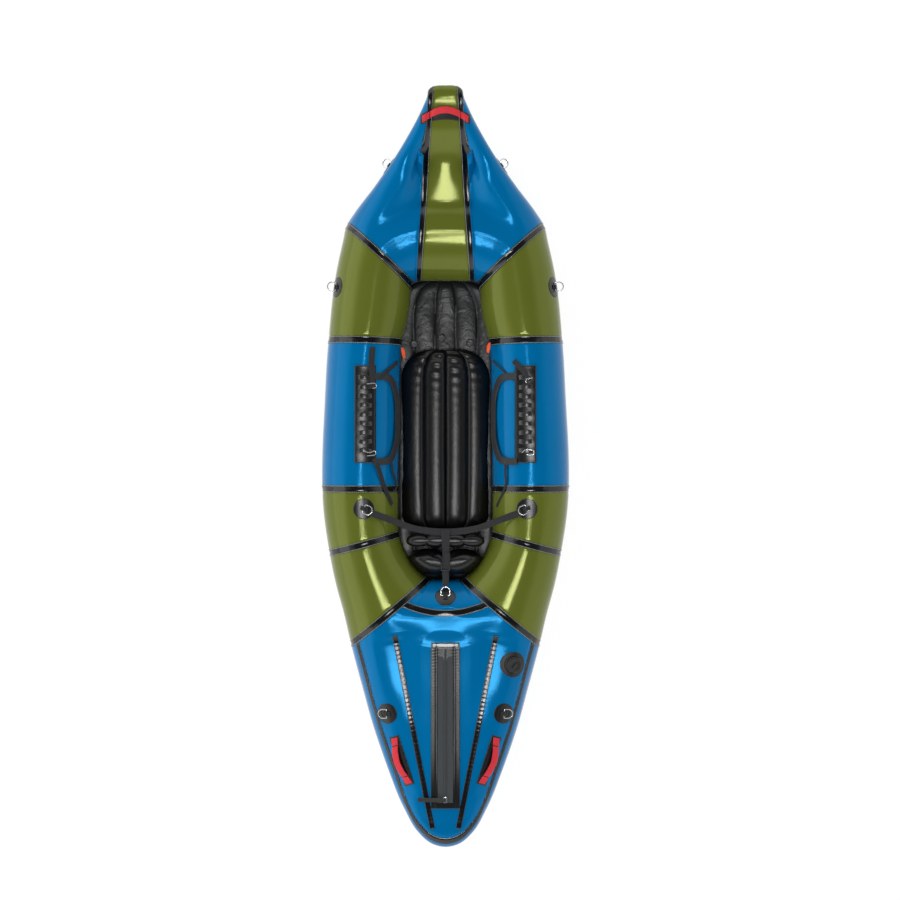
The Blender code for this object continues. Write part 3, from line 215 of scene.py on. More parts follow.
# Polished stainless steel wire: mirror bright, with faint drawing marks
steelWire = {"colour": "#C4C7C8", "roughness": 0.14, "scratchScale": 900, "scratchHeight": 0.00002}
# Glossy film-coated fabric of the inflated seat: wet-looking, with small crinkles
seatFilm = {"cloudScale": 14, "crinkleScale": 34, "crinkleHeight": 0.0016, "fineScale": 140, "fineHeight": 0.0004}


def makeOtherFinishes():
    for name, kit in otherFinishes.items():
        tree, shader = startMaterial(name, kit["sockets"])
        mottle(tree, shader, *kit["colours"], kit["cloud"])
        if kit["grain"]:
            place = addNode(tree, "TexCoord").outputs["Object"]
            grain = addNode(tree, "TexNoise", {"Vector": place, "Scale": kit["grain"], "Detail": kit["detail"]})
            bump = addNode(tree, "Bump", {"Height": grain.outputs["Fac"], "Distance": kit["height"],
                                          "Strength": kit["strength"]})
            tree.links.new(bump.outputs["Normal"], shader.inputs["Normal"])


def makeSteel():
    kit = steelWire
    tree, shader = startMaterial("polishedStainlessSteel", {
        "Metallic": 1.0, "Roughness": kit["roughness"], "Base Color": hexColour(kit["colour"])})
    place = addNode(tree, "TexCoord").outputs["Object"]
    marks = addNode(tree, "TexNoise", {"Vector": place, "Scale": kit["scratchScale"], "Detail": 2})
    bump = addNode(tree, "Bump", {"Height": marks.outputs["Fac"], "Distance": kit["scratchHeight"], "Strength": 0.5})
    tree.links.new(bump.outputs["Normal"], shader.inputs["Normal"])


def makeSeatFilm(name, colour, other, roughness, crinkle):
    kit = seatFilm
    tree, shader = startMaterial(name, {"Roughness": roughness})
    mottle(tree, shader, colour, other, kit["cloudScale"])
    place = addNode(tree, "TexCoord").outputs["Object"]
    large = addNode(tree, "TexNoise", {"Vector": place, "Scale": kit["crinkleScale"], "Detail": 5, "Distortion": 0.8})
    small = addNode(tree, "TexNoise", {"Vector": place, "Scale": kit["fineScale"], "Detail": 3})
    folds = addNode(tree, "Bump", {"Height": large.outputs["Fac"], "Distance": kit["crinkleHeight"] * crinkle,
                                   "Strength": 0.6})
    bump = addNode(tree, "Bump", {"Height": small.outputs["Fac"], "Distance": kit["fineHeight"], "Strength": 0.5,
                                  "Normal": folds.outputs["Normal"]})
    tree.links.new(bump.outputs["Normal"], shader.inputs["Normal"])


makeOtherFinishes()
makeSteel()
makeSeatFilm("blackSeatFilm", "#08090A", "#0E0F10", 0.32, 0.6)
makeSeatFilm("greyMatFilm", "#1D1F21", "#2B2D30", 0.34, 2.0)
print("materials:", len(materials))

# The hull's surface: the same sections as the CAD, joined by smooth curves
hull = {
    "length": 2.80, "beam": 0.92, "tube": 0.285, "cockpitLength": 1.115, "cockpitWidth": 0.351,
    "cockpitShift": 0.147, "keel": 0.0032, "bowRise": 0.22, "sternRise": 0.045, "bowCrest": 0.178,
    "sternCrest": 0.140, "bowValley": 0.030, "sternValley": 0, "valleyPlace": 0.31, "bowPower": 4, "sternPower": 8,
    "sidePower": 2, "bowTaper": 0.18, "sternTaper": 0.25, "bowSeamRow": 7, "sternSeamRow": 19,
    "bowSeamDegrees": 36, "sideSeamDegrees": 36, "sternSeamDegrees": 15,
}
# outer x and y and inner x and y as shares of the half sizes, and how far the section belongs to an end
sectionShares = [
    (0.000, 1.000, 0.000, 1.000, 1.00), (0.056, 1.000, 0.295, 1.000, 1.00), (0.112, 0.996, 0.579, 0.998, 0.99),
    (0.153, 0.966, 0.608, 0.997, 0.93), (0.353, 0.847, 0.638, 0.995, 0.62), (0.562, 0.752, 0.667, 0.993, 0.35),
    (0.739, 0.680, 0.697, 0.991, 0.10), (0.799, 0.651, 0.726, 0.987, 0.00), (0.831, 0.609, 0.733, 0.934, 0.00),
    (0.871, 0.551, 0.743, 0.874, 0.00), (0.908, 0.482, 0.768, 0.791, 0.00), (0.932, 0.413, 0.832, 0.695, 0.00),
    (0.948, 0.350, 0.916, 0.602, 0.00), (0.984, 0.149, 0.976, 0.104, 0.00), (1.000, -0.054, 1.000, -0.400, 0.00),
    (0.980, -0.136, 1.000, -0.559, 0.00), (0.940, -0.221, 0.979, -0.692, 0.00), (0.888, -0.303, 0.821, -0.824, 0.00),
    (0.823, -0.384, 0.611, -0.924, 0.00), (0.767, -0.461, 0.379, -0.997, 0.00), (0.675, -0.577, 0.284, -0.999, 0.20),
    (0.570, -0.696, 0.211, -0.999, 0.42), (0.458, -0.802, 0.147, -1.000, 0.62), (0.337, -0.897, 0.095, -1.000, 0.80),
    (0.225, -0.960, 0.053, -1.000, 0.92), (0.108, -0.992, 0.023, -1.000, 0.98), (0.000, -1.000, 0.000, -1.000, 1.00),
]
loopCount = 2 * (len(sectionShares) - 1)
roundSteps = 20
seams = {"bowStrip": 2, "corner": 7, "forward": 12, "aft": 14, "hip": 16, "quarter": 19}
seamNumbers = [number for seam in seams.values() for number in (seam, loopCount - seam)]


def planEnds(row, side=1):
    # outer and inner end of a section in plan
    outerX, outerY, innerX, innerY, _ = sectionShares[row]
    outer = np.array((side * outerX * hull["beam"], outerY * hull["length"])) / 2
    inner = np.array((side * innerX * hull["cockpitWidth"], innerY * hull["cockpitLength"])) / 2
    return outer, inner + (0, hull["cockpitShift"])


def sectionTable():
    rows = []
    for number in range(loopCount):
        row = min(number, loopCount - number)
        outer, inner = planEnds(row, -1 if number == row else 1)
        end = sectionShares[row][-1]
        word = "bow" if row <= hull["bowSeamRow"] else "stern"
        crest = np.linalg.norm(outer - inner) / 2
        if end > 0:
            seamOuter, seamInner = planEnds(hull[word + "SeamRow"])
            crest = (1 - end) * np.linalg.norm(seamOuter - seamInner) / 2 + end * hull[word + "Crest"]
        rise, taper, valley = (hull[word + key] * end for key in ("Rise", "Taper", "Valley"))
        power, seam = ((1 - end) * hull["side" + key] + end * hull[word + key] for key in ("Power", "SeamDegrees"))
        rows.append((*outer, *inner, crest, rise, taper, power, valley, seam))
    return np.array(rows)


def sectionSlopes():
    # slope of each value at each section, from the sections before and after
    change = np.roll(sections, -1, axis=0) - sections
    spans = np.linalg.norm(change[:, :2], axis=1)
    before, after = np.roll(spans, 1)[:, None], spans[:, None]
    risen = change / after
    return spans, (risen * before + np.roll(risen, 1, axis=0) * after) / (before + after)


sections = sectionTable()
spans, slopes = sectionSlopes()


def sectionAt(u):
    # a cubic through the sections, along the boat's outline
    number = np.floor(u).astype(int)
    share = (u - number)[..., None]
    here = number % loopCount
    there = (number + 1) % loopCount
    span = spans[here][..., None]
    return ((1 + 2 * share) * (1 - share) ** 2 * sections[here] + share * (1 - share) ** 2 * span * slopes[here]
            + share ** 2 * (3 - 2 * share) * sections[there] + share ** 2 * (share - 1) * span * slopes[there])


def hullSurface(u, t):
    # t is 0 on the crest, 3 at the stern deck's seam, 5 at the outer edge, 10 underneath, 15 at the cockpit's edge
    u, t = np.broadcast_arrays(np.asarray(u, float), np.asarray(t, float))
    outerX, outerY, innerX, innerY, crest, rise, taper, power, valley, seam = np.moveaxis(sectionAt(u), -1, 0)
    step = np.mod(t, roundSteps)
    angle = np.radians(np.where(step <= 3, 90 - (90 - seam) * step / 3,
                                np.where(step <= 5, seam * (5 - step) / 2, 90 - 18 * step)))
    reach = np.cos(angle)
    upward = np.sin(angle)
    radius = hull["tube"] / 2
    length = np.hypot(outerX - innerX, outerY - innerY)
    outReach = np.clip(reach, 0, 1)
    swell = (1 - taper * outReach) * np.sqrt(np.clip(1 - outReach ** power, 0, 1))
    height = radius * (1 + np.sign(upward) * swell) + rise * outReach ** 2
    dip = np.sin(math.pi * np.clip(outReach / (2 * hull["valleyPlace"]), 0, 1)) ** 2
    height = height - np.where(upward > 0, valley * dip, 0)
    height = np.where(reach < 0, radius * (1 + upward), height)
    share = np.where(reach < 0, crest * (1 + reach), crest + (length - crest) * outReach) / length
    return np.stack((innerX + (outerX - innerX) * share, innerY + (outerY - innerY) * share,
                     hull["keel"] + height), axis=-1)


def hullNormal(u, t):
    step = 0.02
    normal = np.cross(hullSurface(u, t + step) - hullSurface(u, t - step),
                      hullSurface(u + step, t) - hullSurface(u - step, t))
    return normal / np.maximum(np.linalg.norm(normal, axis=-1, keepdims=True), 1e-12)


# Relief in the fabric, in metres; pairs run from where a form starts to where it is full
relief = {
    # waists and puckers at the seams
    "seamPinch": 0.0030, "seamReach": 0.011, "seamSections": 2.2, "edgeStep": 3, "edgePinch": 0.0016,
    "puckerHeight": 0.0009, "puckerReach": 0.030, "puckerFrom": 0.008, "puckerStep": 0.0448,
    "puckerWaves": (0.047, 0.031, 0.0213, 0.083), "swellHeight": 0.0008,
    # the bow strip's hollow: an even slope with a crown across it
    "hollowFrom": 0.998, "hollowTo": 1.112, "hollowDegrees": (9.6, 10.4), "hollowEase": (0.060, 0.140),
    "hollowSections": (4.2, 2.2), "hollowUpright": (0.20, 0.60), "hollowLift": -0.009, "hollowLean": 0.18,
    "hollowPlaces": (0.998, 1.036, 1.074, 1.112, 1.200), "hollowCrowns": (1.5, 1.9, 3.4, 5.5, 1.0),
    # the front cross tube's crest
    "pressDepth": 0.0021, "pressPlace": 0.026, "pressReach": 0.034, "pressSections": (7.2, 5.2),
    # the deck behind the arc tape
    "rearLevel": 0.2868, "rearPlace": -0.5575, "rearCrown": 0.9, "rearSlope": 0.011, "rearBow": 1.4,
    "rearRise": 0.06, "rearEase": 0.0003, "rearLength": (0.095, 0.055), "rearWidth": (0.20, 0.14),
    # the stern deck's two sewn troughs, with a shelf outboard of each
    "troughStart": (0.188, -0.600), "troughEnd": (0.046, -1.330), "troughInside": 0.050,
    "troughShares": (0, 0.04, 0.15, 0.25, 0.35, 0.46, 1), "troughFore": (0, 0.05), "troughAft": (1.01, 0.96),
    "troughDepths": (0.0125, 0.0125, 0.0108, 0.0087, 0.0063, 0.0032, 0.0032),
    "shelfRadius": 0.30, "shelfMiddle": 0.030, "shelfEase": 0.0012, "gatherHeight": 0.0006, "gatherReach": 0.012,
    "gatherCount": 46,
}


def ramp(value, start, full):
    return np.clip((value - start) / (full - start), 0, 1)


def smooth(share):
    return share * share * (3 - 2 * share)


def softRise(value, ease):
    # the value where it is above nothing, with a soft bend
    return (value + np.sqrt(value ** 2 + ease ** 2)) / 2


def runningSum(steps):
    return np.concatenate(((0,), np.cumsum(steps)))


def ripple(place, seed):
    # a sum of waves that never quite repeats, from -1 to 1
    total = 0
    for turn, wavelength in enumerate(relief["puckerWaves"]):
        total = total + np.sin(2 * math.pi * place / wavelength + seed * 2.3 + turn * 1.9) / (1 + 0.35 * turn)
    return total / 2.6


def fromSection(numbers, section):
    # how many sections a place lies from one section
    return np.mod(numbers - section + loopCount / 2, loopCount) - loopCount / 2


def hollowProfile():
    # height of the bow strip's middle where it has an even slope, and how strongly it is drawn there
    line = hullSurface(0, np.linspace(0, 5, 200))
    first, last = relief["hollowFrom"], relief["hollowTo"]
    slopes = np.tan(np.radians(relief["hollowDegrees"]))
    y = np.linspace(first - 0.2, last + 0.2, 300)
    slope = slopes[0] + (slopes[1] - slopes[0]) * (y - first) / (last - first)
    rise = runningSum((slope[1:] + slope[:-1]) / 2 * np.diff(y))
    level = rise - np.interp(first, y, rise) + np.interp(first, line[:, 1], line[:, 2])
    before, after = relief["hollowEase"]
    return y, level, smooth(ramp(y, first - before, first) * ramp(y, last + after, last))


def troughProfile():
    # height of the plain deck along the trough's line
    deck = hullSurface(np.linspace(18.5, 26, 300)[:, None], np.linspace(-1, 3, 160)[None, :]).reshape(-1, 3)
    shares = np.linspace(-0.2, 1.1, 60)
    start, end = (np.array(relief[key]) * (-1, 1) for key in ("troughStart", "troughEnd"))
    heights = [deck[np.argmin(((deck[:, :2] - start - (end - start) * share) ** 2).sum(axis=1)), 2]
               for share in shares]
    return shares, np.convolve(np.pad(heights, 3, mode="edge"), np.ones(7) / 7, mode="valid")


hollow = hollowProfile()
troughLine = troughProfile()


def pinch(points, number, step):
    # depth of a waist beside a seam, and the distance from it
    gap = np.linalg.norm(points - hullSurface(number, step), axis=-1)
    return np.exp(-(gap / relief["seamReach"]) ** 2), gap


def seamRelief(numbers, steps, points):
    depth = np.zeros(len(points))
    for seed, seam in enumerate(seamNumbers):
        near = np.abs(fromSection(numbers, seam)) < relief["seamSections"]
        waist, gap = pinch(points[near], seam, steps[near])
        pucker = ripple(steps[near] * relief["puckerStep"], seed) * np.exp(-gap / relief["puckerReach"])
        depth[near] += (relief["seamPinch"] * waist
                        - relief["puckerHeight"] * pucker * np.clip(gap / relief["puckerFrom"], 0, 1))
    offEdge = np.abs(np.mod(steps - relief["edgeStep"] + roundSteps / 2, roundSteps) - roundSteps / 2)
    near = (numbers > seams["quarter"]) & (numbers < loopCount - seams["quarter"]) & (offEdge < 1.5)
    depth[near] += relief["edgePinch"] * pinch(points[near], numbers[near], relief["edgeStep"])[0]
    return depth


def bowRelief(numbers, steps, points, upright):
    x, y, z = points.T
    beside = np.abs(fromSection(numbers, 0))
    crown = np.interp(y, relief["hollowPlaces"], relief["hollowCrowns"])
    target = np.interp(y, hollow[0], hollow[1]) - crown * x ** 2 / 2
    hold = (smooth(ramp(beside, *relief["hollowSections"])) * np.interp(y, hollow[0], hollow[2])
            * ramp(upright, *relief["hollowUpright"]))
    lean = upright + relief["hollowLean"] * np.sqrt(np.clip(1 - upright ** 2, 0, 1))
    drop = np.maximum(z - target, relief["hollowLift"]) * hold / np.maximum(lean, 0.3)
    # the crest of the front cross tube is pulled a little flat towards the cockpit
    step = np.mod(steps, roundSteps)
    offCrest = np.where(upright > 0, (roundSteps - step) * math.pi / 10, 3) * hull["tube"] / 2
    press = relief["pressDepth"] * np.exp(-((offCrest - relief["pressPlace"]) / relief["pressReach"]) ** 2)
    return (np.where((upright > 0.3) & (y > 0.7), drop, 0)
            + np.where(step > 14, press * ramp(beside, *relief["pressSections"]), 0))


def sternRelief(points, upright):
    x, y, z = points.T
    start, end = (np.array(relief[key]) for key in ("troughStart", "troughEnd"))
    span = end - start
    plan = np.stack((np.abs(x), y), axis=-1) - start
    # how far a place lies outboard of the nearer trough's line, and how far along it is
    gap = (plan[:, 1] * span[0] - plan[:, 0] * span[1]) / np.linalg.norm(span)
    share = (plan @ span) / (span @ span)
    full = sum(np.interp(share + shift, relief["troughShares"], relief["troughDepths"])
               for shift in (-0.03, -0.01, 0.01, 0.03)) / 4
    inner = full * np.exp(-(gap / relief["troughInside"]) ** 2)
    # outboard of the trough the deck is drawn into a nearly level shelf
    crown = (gap - relief["shelfMiddle"]) ** 2 - relief["shelfMiddle"] ** 2
    shelf = np.interp(share, *troughLine) - full - crown / (2 * relief["shelfRadius"])
    outer = np.minimum(softRise(z - shelf, relief["shelfEase"]), full)
    gathers = (relief["gatherHeight"] * np.sin(2 * math.pi * share * relief["gatherCount"])
               * np.exp(-(gap / relief["gatherReach"]) ** 2))
    fade = smooth(ramp(share, *relief["troughFore"]) * ramp(share, *relief["troughAft"]))
    trough = (np.where(gap < 0, inner, outer) + gathers) * fade
    # the deck behind the arc tape is pulled level
    behind = y - relief["rearPlace"] - relief["rearBow"] * x ** 2
    level = (relief["rearLevel"] + relief["rearRise"] * x ** 2 - relief["rearCrown"] * behind ** 2
             - relief["rearSlope"] * behind)
    rear = (softRise(z - level, relief["rearEase"]) * ramp(np.abs(behind), *relief["rearLength"])
            * ramp(np.abs(x), *relief["rearWidth"]))
    return np.where(upright > 0.2, np.where(y < -0.55, trough, 0) + rear, 0)


def reliefAt(numbers, steps, points, upright):
    x, y, z = points.T
    swell = relief["swellHeight"] * (np.sin(x * 17 + y * 9) + np.sin(y * 23 - z * 19 + 1.3)) / 2
    return swell - (seamRelief(numbers, steps, points) + bowRelief(numbers, steps, points, upright)
                    + sternRelief(points, upright))


# Where a fitting of the CAD sits, the smooth surface is eased to the CAD's facets under it
seats = {"places": [], "offsets": [], "reach": 0.040, "probe": 0.05}


def settle(points):
    total = np.zeros(len(points))
    weights = np.zeros(len(points))
    for place, offset in zip(seats["places"], seats["offsets"]):
        weight = np.exp(-((points - place) ** 2).sum(axis=1) / (2 * seats["reach"] ** 2))
        total += weight * offset
        weights += weight
    return total / np.maximum(weights, 1)


def skin(u, t, lift=0.0):
    # the finished surface, or a level over it
    u, t = np.broadcast_arrays(np.asarray(u, float), np.asarray(t, float))
    shape = u.shape + (3,)
    lift = np.broadcast_to(lift, u.shape).reshape(-1)
    u = u.reshape(-1)
    t = t.reshape(-1)
    points = hullSurface(u, t)
    normals = hullNormal(u, t)
    level = reliefAt(u, t, points, normals[:, 2]) + settle(points) + lift
    return (points + normals * level[:, None]).reshape(shape), normals.reshape(shape)


lookup = {"along": 624, "around": 160}


def refreshLookup():
    points, _ = skin(np.linspace(0, loopCount, lookup["along"] + 1)[:, None],
                     np.linspace(0, roundSteps, lookup["around"] + 1)[None, :])
    rows, columns = points.shape[:2]
    cells = [(corner, corner + 1, corner + columns + 1, corner + columns)
             for row in range(rows - 1) for corner in range(row * columns, (row + 1) * columns - 1)]
    lookup["tree"] = BVHTree.FromPolygons([tuple(point) for point in points.reshape(-1, 3)], cells)
    lookup["points"] = points


def cellPlace(hit, index):
    # section number and step of a place in one cell of the lookup
    row, column = divmod(index, lookup["around"])
    corner = lookup["points"][row, column]
    first = lookup["points"][row + 1, column] - corner
    second = lookup["points"][row, column + 1] - corner
    offset = np.array(hit) - corner
    square = np.array(((first @ first, first @ second), (first @ second, second @ second)))
    share = np.linalg.solve(square + np.eye(2) * 1e-12, np.array((offset @ first, offset @ second)))
    share = np.clip(share, -0.2, 1.2)
    return (row + share[0]) * loopCount / lookup["along"], (column + share[1]) * roundSteps / lookup["around"]


def nearestOn(place):
    hit, _, index, _ = lookup["tree"].find_nearest(Vector(place))
    return cellPlace(hit, index)


def landOn(start, direction=(0, 0, -1)):
    hit, _, index, _ = lookup["tree"].ray_cast(Vector(start), Vector(direction))
    return nearestOn(start) if hit is None else cellPlace(hit, index)


refreshLookup()

skinNodes = ["bow_centre_strip", "bow_left_panel", "bow_right_panel", "front_left_tube", "front_right_tube",
             "side_left_tube", "side_right_tube", "hip_left_tube", "hip_right_tube", "quarter_left_tube",
             "quarter_right_tube", "rear_cross_panel", "stern_deck_panel", "stern_hull_panel"]
# Places of the ring bars, and the directions of the bars, as in the CAD
ringPlaces = {
    "bow_left_ring": ((-0.20758, 1.12537, 0.23431), (0.61177, 0.77945, 0.13487)),
    "bow_right_ring": ((0.20751, 1.12537, 0.23425), (0.61173, -0.77933, -0.13574)),
    "front_left_ring": ((-0.40590, 0.67759, 0.20651), (0.11915, 0.99085, -0.06340)),
    "front_right_ring": ((0.40588, 0.67761, 0.20650), (0.12189, -0.99042, 0.06492)),
    "hip_left_ring": ((-0.29927, -0.14249, 0.28988), (-0.37333, -0.92532, 0.06642)),
    "hip_right_ring": ((0.29926, -0.14249, 0.28980), (-0.37286, 0.92535, -0.06853)),
    "rear_ring": ((0.00000, -0.46341, 0.26191), (1.00000, -0.00048, -0.00058)),
    "stern_left_ring": ((-0.21640, -0.89751, 0.26760), (-0.05726, 0.99168, 0.11533)),
    "stern_right_ring": ((0.21638, -0.89752, 0.26753), (-0.05814, -0.99129, -0.11819)),
}
handlePlan = {
    "bow_handle": {"start": (-0.0840, 1.2755), "end": (0.0840, 1.2755), "bulge": 0.036, "patchBulge": 0.018},
    "stern_right_handle": {"start": (0.1870, -0.9860), "end": (0.1325, -1.1540), "bulge": 0.012, "patchBulge": 0},
    "stern_left_handle": {"start": (-0.1325, -1.1540), "end": (-0.1870, -0.9860), "bulge": 0.012, "patchBulge": 0},
}
zipPlan = {"from": -0.6379, "to": -1.2720, "columns": (-0.042, 0, 0.042), "rows": 14}
valvePlan = {"place": (0.2490, -0.7160)}


def cadTree():
    points = []
    cells = []
    for name in skinNodes:
        mesh = nodes[name].data
        start = len(points)
        points += [vert.co.copy() for vert in mesh.vertices]
        cells += [tuple(start + vert for vert in face.vertices) for face in mesh.polygons]
    return BVHTree.FromPolygons(points, cells)


def settleSeats():
    tree = cadTree()
    spots = [nearestOn(place) for node, (place, _) in ringPlaces.items() if node + "_body" in bodies]
    plan = [Vector(ends["start"]).lerp(Vector(ends["end"]), share)
            for ends in handlePlan.values() for share in (0.0, 0.25, 0.5, 0.75, 1.0)]
    plan += [(x, y) for y in np.linspace(zipPlan["from"], zipPlan["to"], zipPlan["rows"]) for x in zipPlan["columns"]]
    spots += [landOn((x, y, 1)) for x, y in plan + [valvePlan["place"]]]
    places = []
    offsets = []
    for u, t in spots:
        point, normal = skin(u, t)
        hit, _, _, reach = tree.ray_cast(Vector(point + normal * seats["probe"]), Vector(-normal), 2 * seats["probe"])
        if hit is not None:
            places.append(point)
            offsets.append(seats["probe"] - reach)
    seats["places"] = places
    seats["offsets"] = offsets
    print("fittings eased by %.1f to %.1f mm" % (min(offsets) * 1000, max(offsets) * 1000))


settleSeats()
refreshLookup()

# Mesh helpers


def placeObject(name, data):
    piece = bpy.data.objects.new(name, data)
    scene.collection.objects.link(piece)
    return piece


def joinFrame(piece, body, node=None):
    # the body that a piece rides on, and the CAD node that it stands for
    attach(piece, body)
    if node:
        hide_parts(node)
    return piece


def showPiece(name, mesh, material, body="hull", node=None, slot=None, smoothDegrees=40, thickness=0):
    data = bpy.data.meshes.new(name)
    mesh.to_mesh(data)
    mesh.free()
    data.materials.append(materials[material])
    data.shade_smooth()
    if smoothDegrees:
        data.set_sharp_from_angle(angle=math.radians(smoothDegrees))
    piece = placeObject(name, data)
    if thickness:
        # a sheet gets its thickness on the side away from its faces
        solid = piece.modifiers.new("thickness", "SOLIDIFY")
        solid.thickness = thickness
        solid.offset = -1
    return joinFrame(piece, body, node)


def runningLength(points):
    return runningSum(np.linalg.norm(np.diff(points, axis=0), axis=-1))


def lengthUv(points):
    # running lengths along both ways of a grid, centred across the second
    along = runningSum(np.linalg.norm(np.diff(points, axis=0), axis=-1).mean(axis=1))
    across = runningSum(np.linalg.norm(np.diff(points, axis=1), axis=-1).mean(axis=0))
    return np.stack(np.meshgrid(along, across - across[-1] / 2, indexing="ij"), axis=-1)


def sheetMesh(points, closed=False, flip=False):
    # a grid moved to an array of points, with a map in metres
    rows, columns = points.shape[:2]
    uv = lengthUv(points)
    mesh = bmesh.new()
    bmesh.ops.create_grid(mesh, x_segments=rows - 1, y_segments=columns - 1, size=1)
    layer = mesh.loops.layers.uv.new("cloth")
    places = {}
    for vert in mesh.verts:
        place = (round((vert.co.x + 1) / 2 * (rows - 1)), round((vert.co.y + 1) / 2 * (columns - 1)))
        places[vert.index] = place
        vert.co = points[place]
    for face in mesh.faces:
        for loop in face.loops:
            loop[layer].uv = uv[places[loop.vert.index]]
    if flip:
        bmesh.ops.reverse_faces(mesh, faces=mesh.faces)
    if closed:
        bmesh.ops.remove_doubles(mesh, verts=mesh.verts, dist=0.00002)
    return mesh


def solidMesh(points):
    # a grid that meets itself, with its faces outward
    mesh = sheetMesh(points, closed=True)
    bmesh.ops.recalc_face_normals(mesh, faces=mesh.faces)
    return mesh


def evenNumbers(first, last, far, near):
    # section numbers from seam to seam, closer together beside the seams
    fine = np.linspace(first, last, 1200)
    steps = np.maximum(*(np.linalg.norm(np.diff(hullSurface(fine, step), axis=0), axis=1) for step in (5, 0)))
    run = runningSum(steps)
    density = np.where(np.minimum(run, run[-1] - run) < panelCell["seamReach"], 1 / near, 1 / far)
    count = runningSum(steps * (density[1:] + density[:-1]) / 2)
    return np.interp(np.linspace(0, count[-1], max(4, int(count[-1]) + 1)), count, fine)


def evenSteps(middle, first, last, count):
    # steps round a section that lie evenly along its outline
    fine = np.linspace(first, last, 800)
    run = runningLength(hullSurface(middle, fine))
    return np.interp(np.linspace(0, run[-1], count + 1), run, fine)


# Hull panels: node, first and last section, first and last step, cells round it, and colour
panelCell = {"far": 0.012, "near": 0.0036, "seamReach": 0.035, "thickness": 0.0006}
pairedPanels = {
    "bow{}Panel": ("bow_{}_panel", 2, 7, 190, "blue"), "front{}Tube": ("front_{}_tube", 7, 12, 120, "green"),
    "side{}Tube": ("side_{}_tube", 12, 14, 120, "blue"), "hip{}Tube": ("hip_{}_tube", 14, 16, 120, "green"),
    "quarter{}Tube": ("quarter_{}_tube", 16, 19, 120, "green"),
}
middlePanels = {
    "bowCentreStrip": ("bow_centre_strip", -2, 2, 0, 20, 200, "green"),
    "rearCrossPanel": ("rear_cross_panel", 19, 33, 10, 19, 60, "blue"),
    "sternDeckPanel": ("stern_deck_panel", 19, 33, -1, 3, 130, "blue"),
    "sternHullPanel": ("stern_hull_panel", 19, 33, 3, 10, 150, "blue"),
}


def makePanel(name, node, first, last, fromStep, toStep, around, colour):
    numbers = evenNumbers(first, last, panelCell["far"], panelCell["near"])
    steps = evenSteps((first + last) / 2, fromStep, toStep, around)
    points, _ = skin(numbers[:, None], steps[None, :])
    showPiece(name, sheetMesh(points, toStep - fromStep == roundSteps, True), colour + "CoatedNylon", node=node,
              smoothDegrees=0, thickness=panelCell["thickness"])


for name, plan in middlePanels.items():
    makePanel(name, *plan)
for name, (node, first, last, around, colour) in pairedPanels.items():
    for word, side in sides:
        ends = (first, last) if side < 0 else (loopCount - last, loopCount - first)
        makePanel(name.format(word), node.format(word.lower()), *ends, 0, roundSteps, around, colour)
print("hull panels:", len(middlePanels) + 2 * len(pairedPanels))

# Seam tapes, laid on the surface
edgeTape = {"step": 3.15, "from": 19.1, "to": 32.9, "width": 0.018, "cells": 220}


def makeSeamTape(name, seam, width=seamTape["width"], node=None):
    steps = evenSteps(seam, 0, roundSteps, 160)[:, None]
    across = np.linspace(-width / 2, width / 2, 9)
    # section numbers at even distances to both sides of the seam
    span = 0.01
    gap = np.linalg.norm(hullSurface(seam + span, steps) - hullSurface(seam - span, steps), axis=-1) / (2 * span)
    points, _ = skin(seam + across / np.maximum(gap, 1e-6), steps, seamTape["lift"] + seamTape["thickness"])
    showPiece(name, sheetMesh(points, True), "sewnSeamTape", node=node, thickness=seamTape["thickness"])


def makeEdgeTape():
    kit = edgeTape
    numbers = np.linspace(kit["from"], kit["to"], kit["cells"] + 1)[:, None]
    across = np.linspace(-kit["width"] / 2, kit["width"] / 2, 6)
    span = 0.02
    step = kit["step"]
    gap = np.linalg.norm(hullSurface(numbers, step + span) - hullSurface(numbers, step - span), axis=-1) / (2 * span)
    points, _ = skin(numbers, step + across / np.maximum(gap, 1e-6), seamTape["lift"] + seamTape["thickness"])
    showPiece("sternEdgeTape", sheetMesh(points, flip=True), "sewnSeamTape", thickness=seamTape["thickness"])


for word, side in sides:
    for key, number in seams.items():
        number = number if side < 0 else loopCount - number
        if key == "bowStrip":
            makeSeamTape("bowStripTape" + word, number, seamTape["bowWidth"])
        else:
            makeSeamTape(key + "Tape" + word, number,
                         node="" if key == "hip" else key + "_seam_tape_" + word.lower())
makeEdgeTape()
print("seam tapes laid")


def unwrapSteps(values, turn):
    # keeps neighbouring values from jumping a whole turn
    middle = values[values.shape[0] // 2, values.shape[1] // 2]
    return values - np.round((values - middle) / turn) * turn


def dropSheet(starts, direction=(0, 0, -1)):
    # section numbers and steps where a grid of starting points meets the hull
    places = np.array([landOn(start, direction) for start in starts.reshape(-1, 3)]).reshape(*starts.shape[:2], 2)
    return unwrapSteps(places[..., 0], loopCount), unwrapSteps(places[..., 1], roundSteps)


def layPatch(name, starts, direction, lift, thickness, material, flip=False, node=None):
    points, _ = skin(*dropSheet(starts, direction), lift + thickness)
    showPiece(name, sheetMesh(points, flip=flip), material, node=node, thickness=thickness)


def layStrip(name, plan, width, lift=0.0006, thickness=0.0009):
    # a tape laid along a line of plan points on the deck
    line = np.array(plan)
    heading = np.gradient(line, axis=0)
    heading /= np.linalg.norm(heading, axis=1, keepdims=True)
    side = np.stack((-heading[:, 1], heading[:, 0]), axis=1)
    across = np.linspace(width / 2, -width / 2, 7)
    starts = np.ones((len(line), len(across), 3))
    starts[..., :2] = line[:, None, :] + side[:, None, :] * across[None, :, None]
    layPatch(name, starts, (0, 0, -1), lift, thickness, "sewnSeamTape", flip=True)


arcTape = {"y": -0.527, "bow": 0.040, "half": 0.165, "reach": 0.158, "width": 0.024}
troughTape = {"shares": (0.012, 0.99), "width": 0.019}


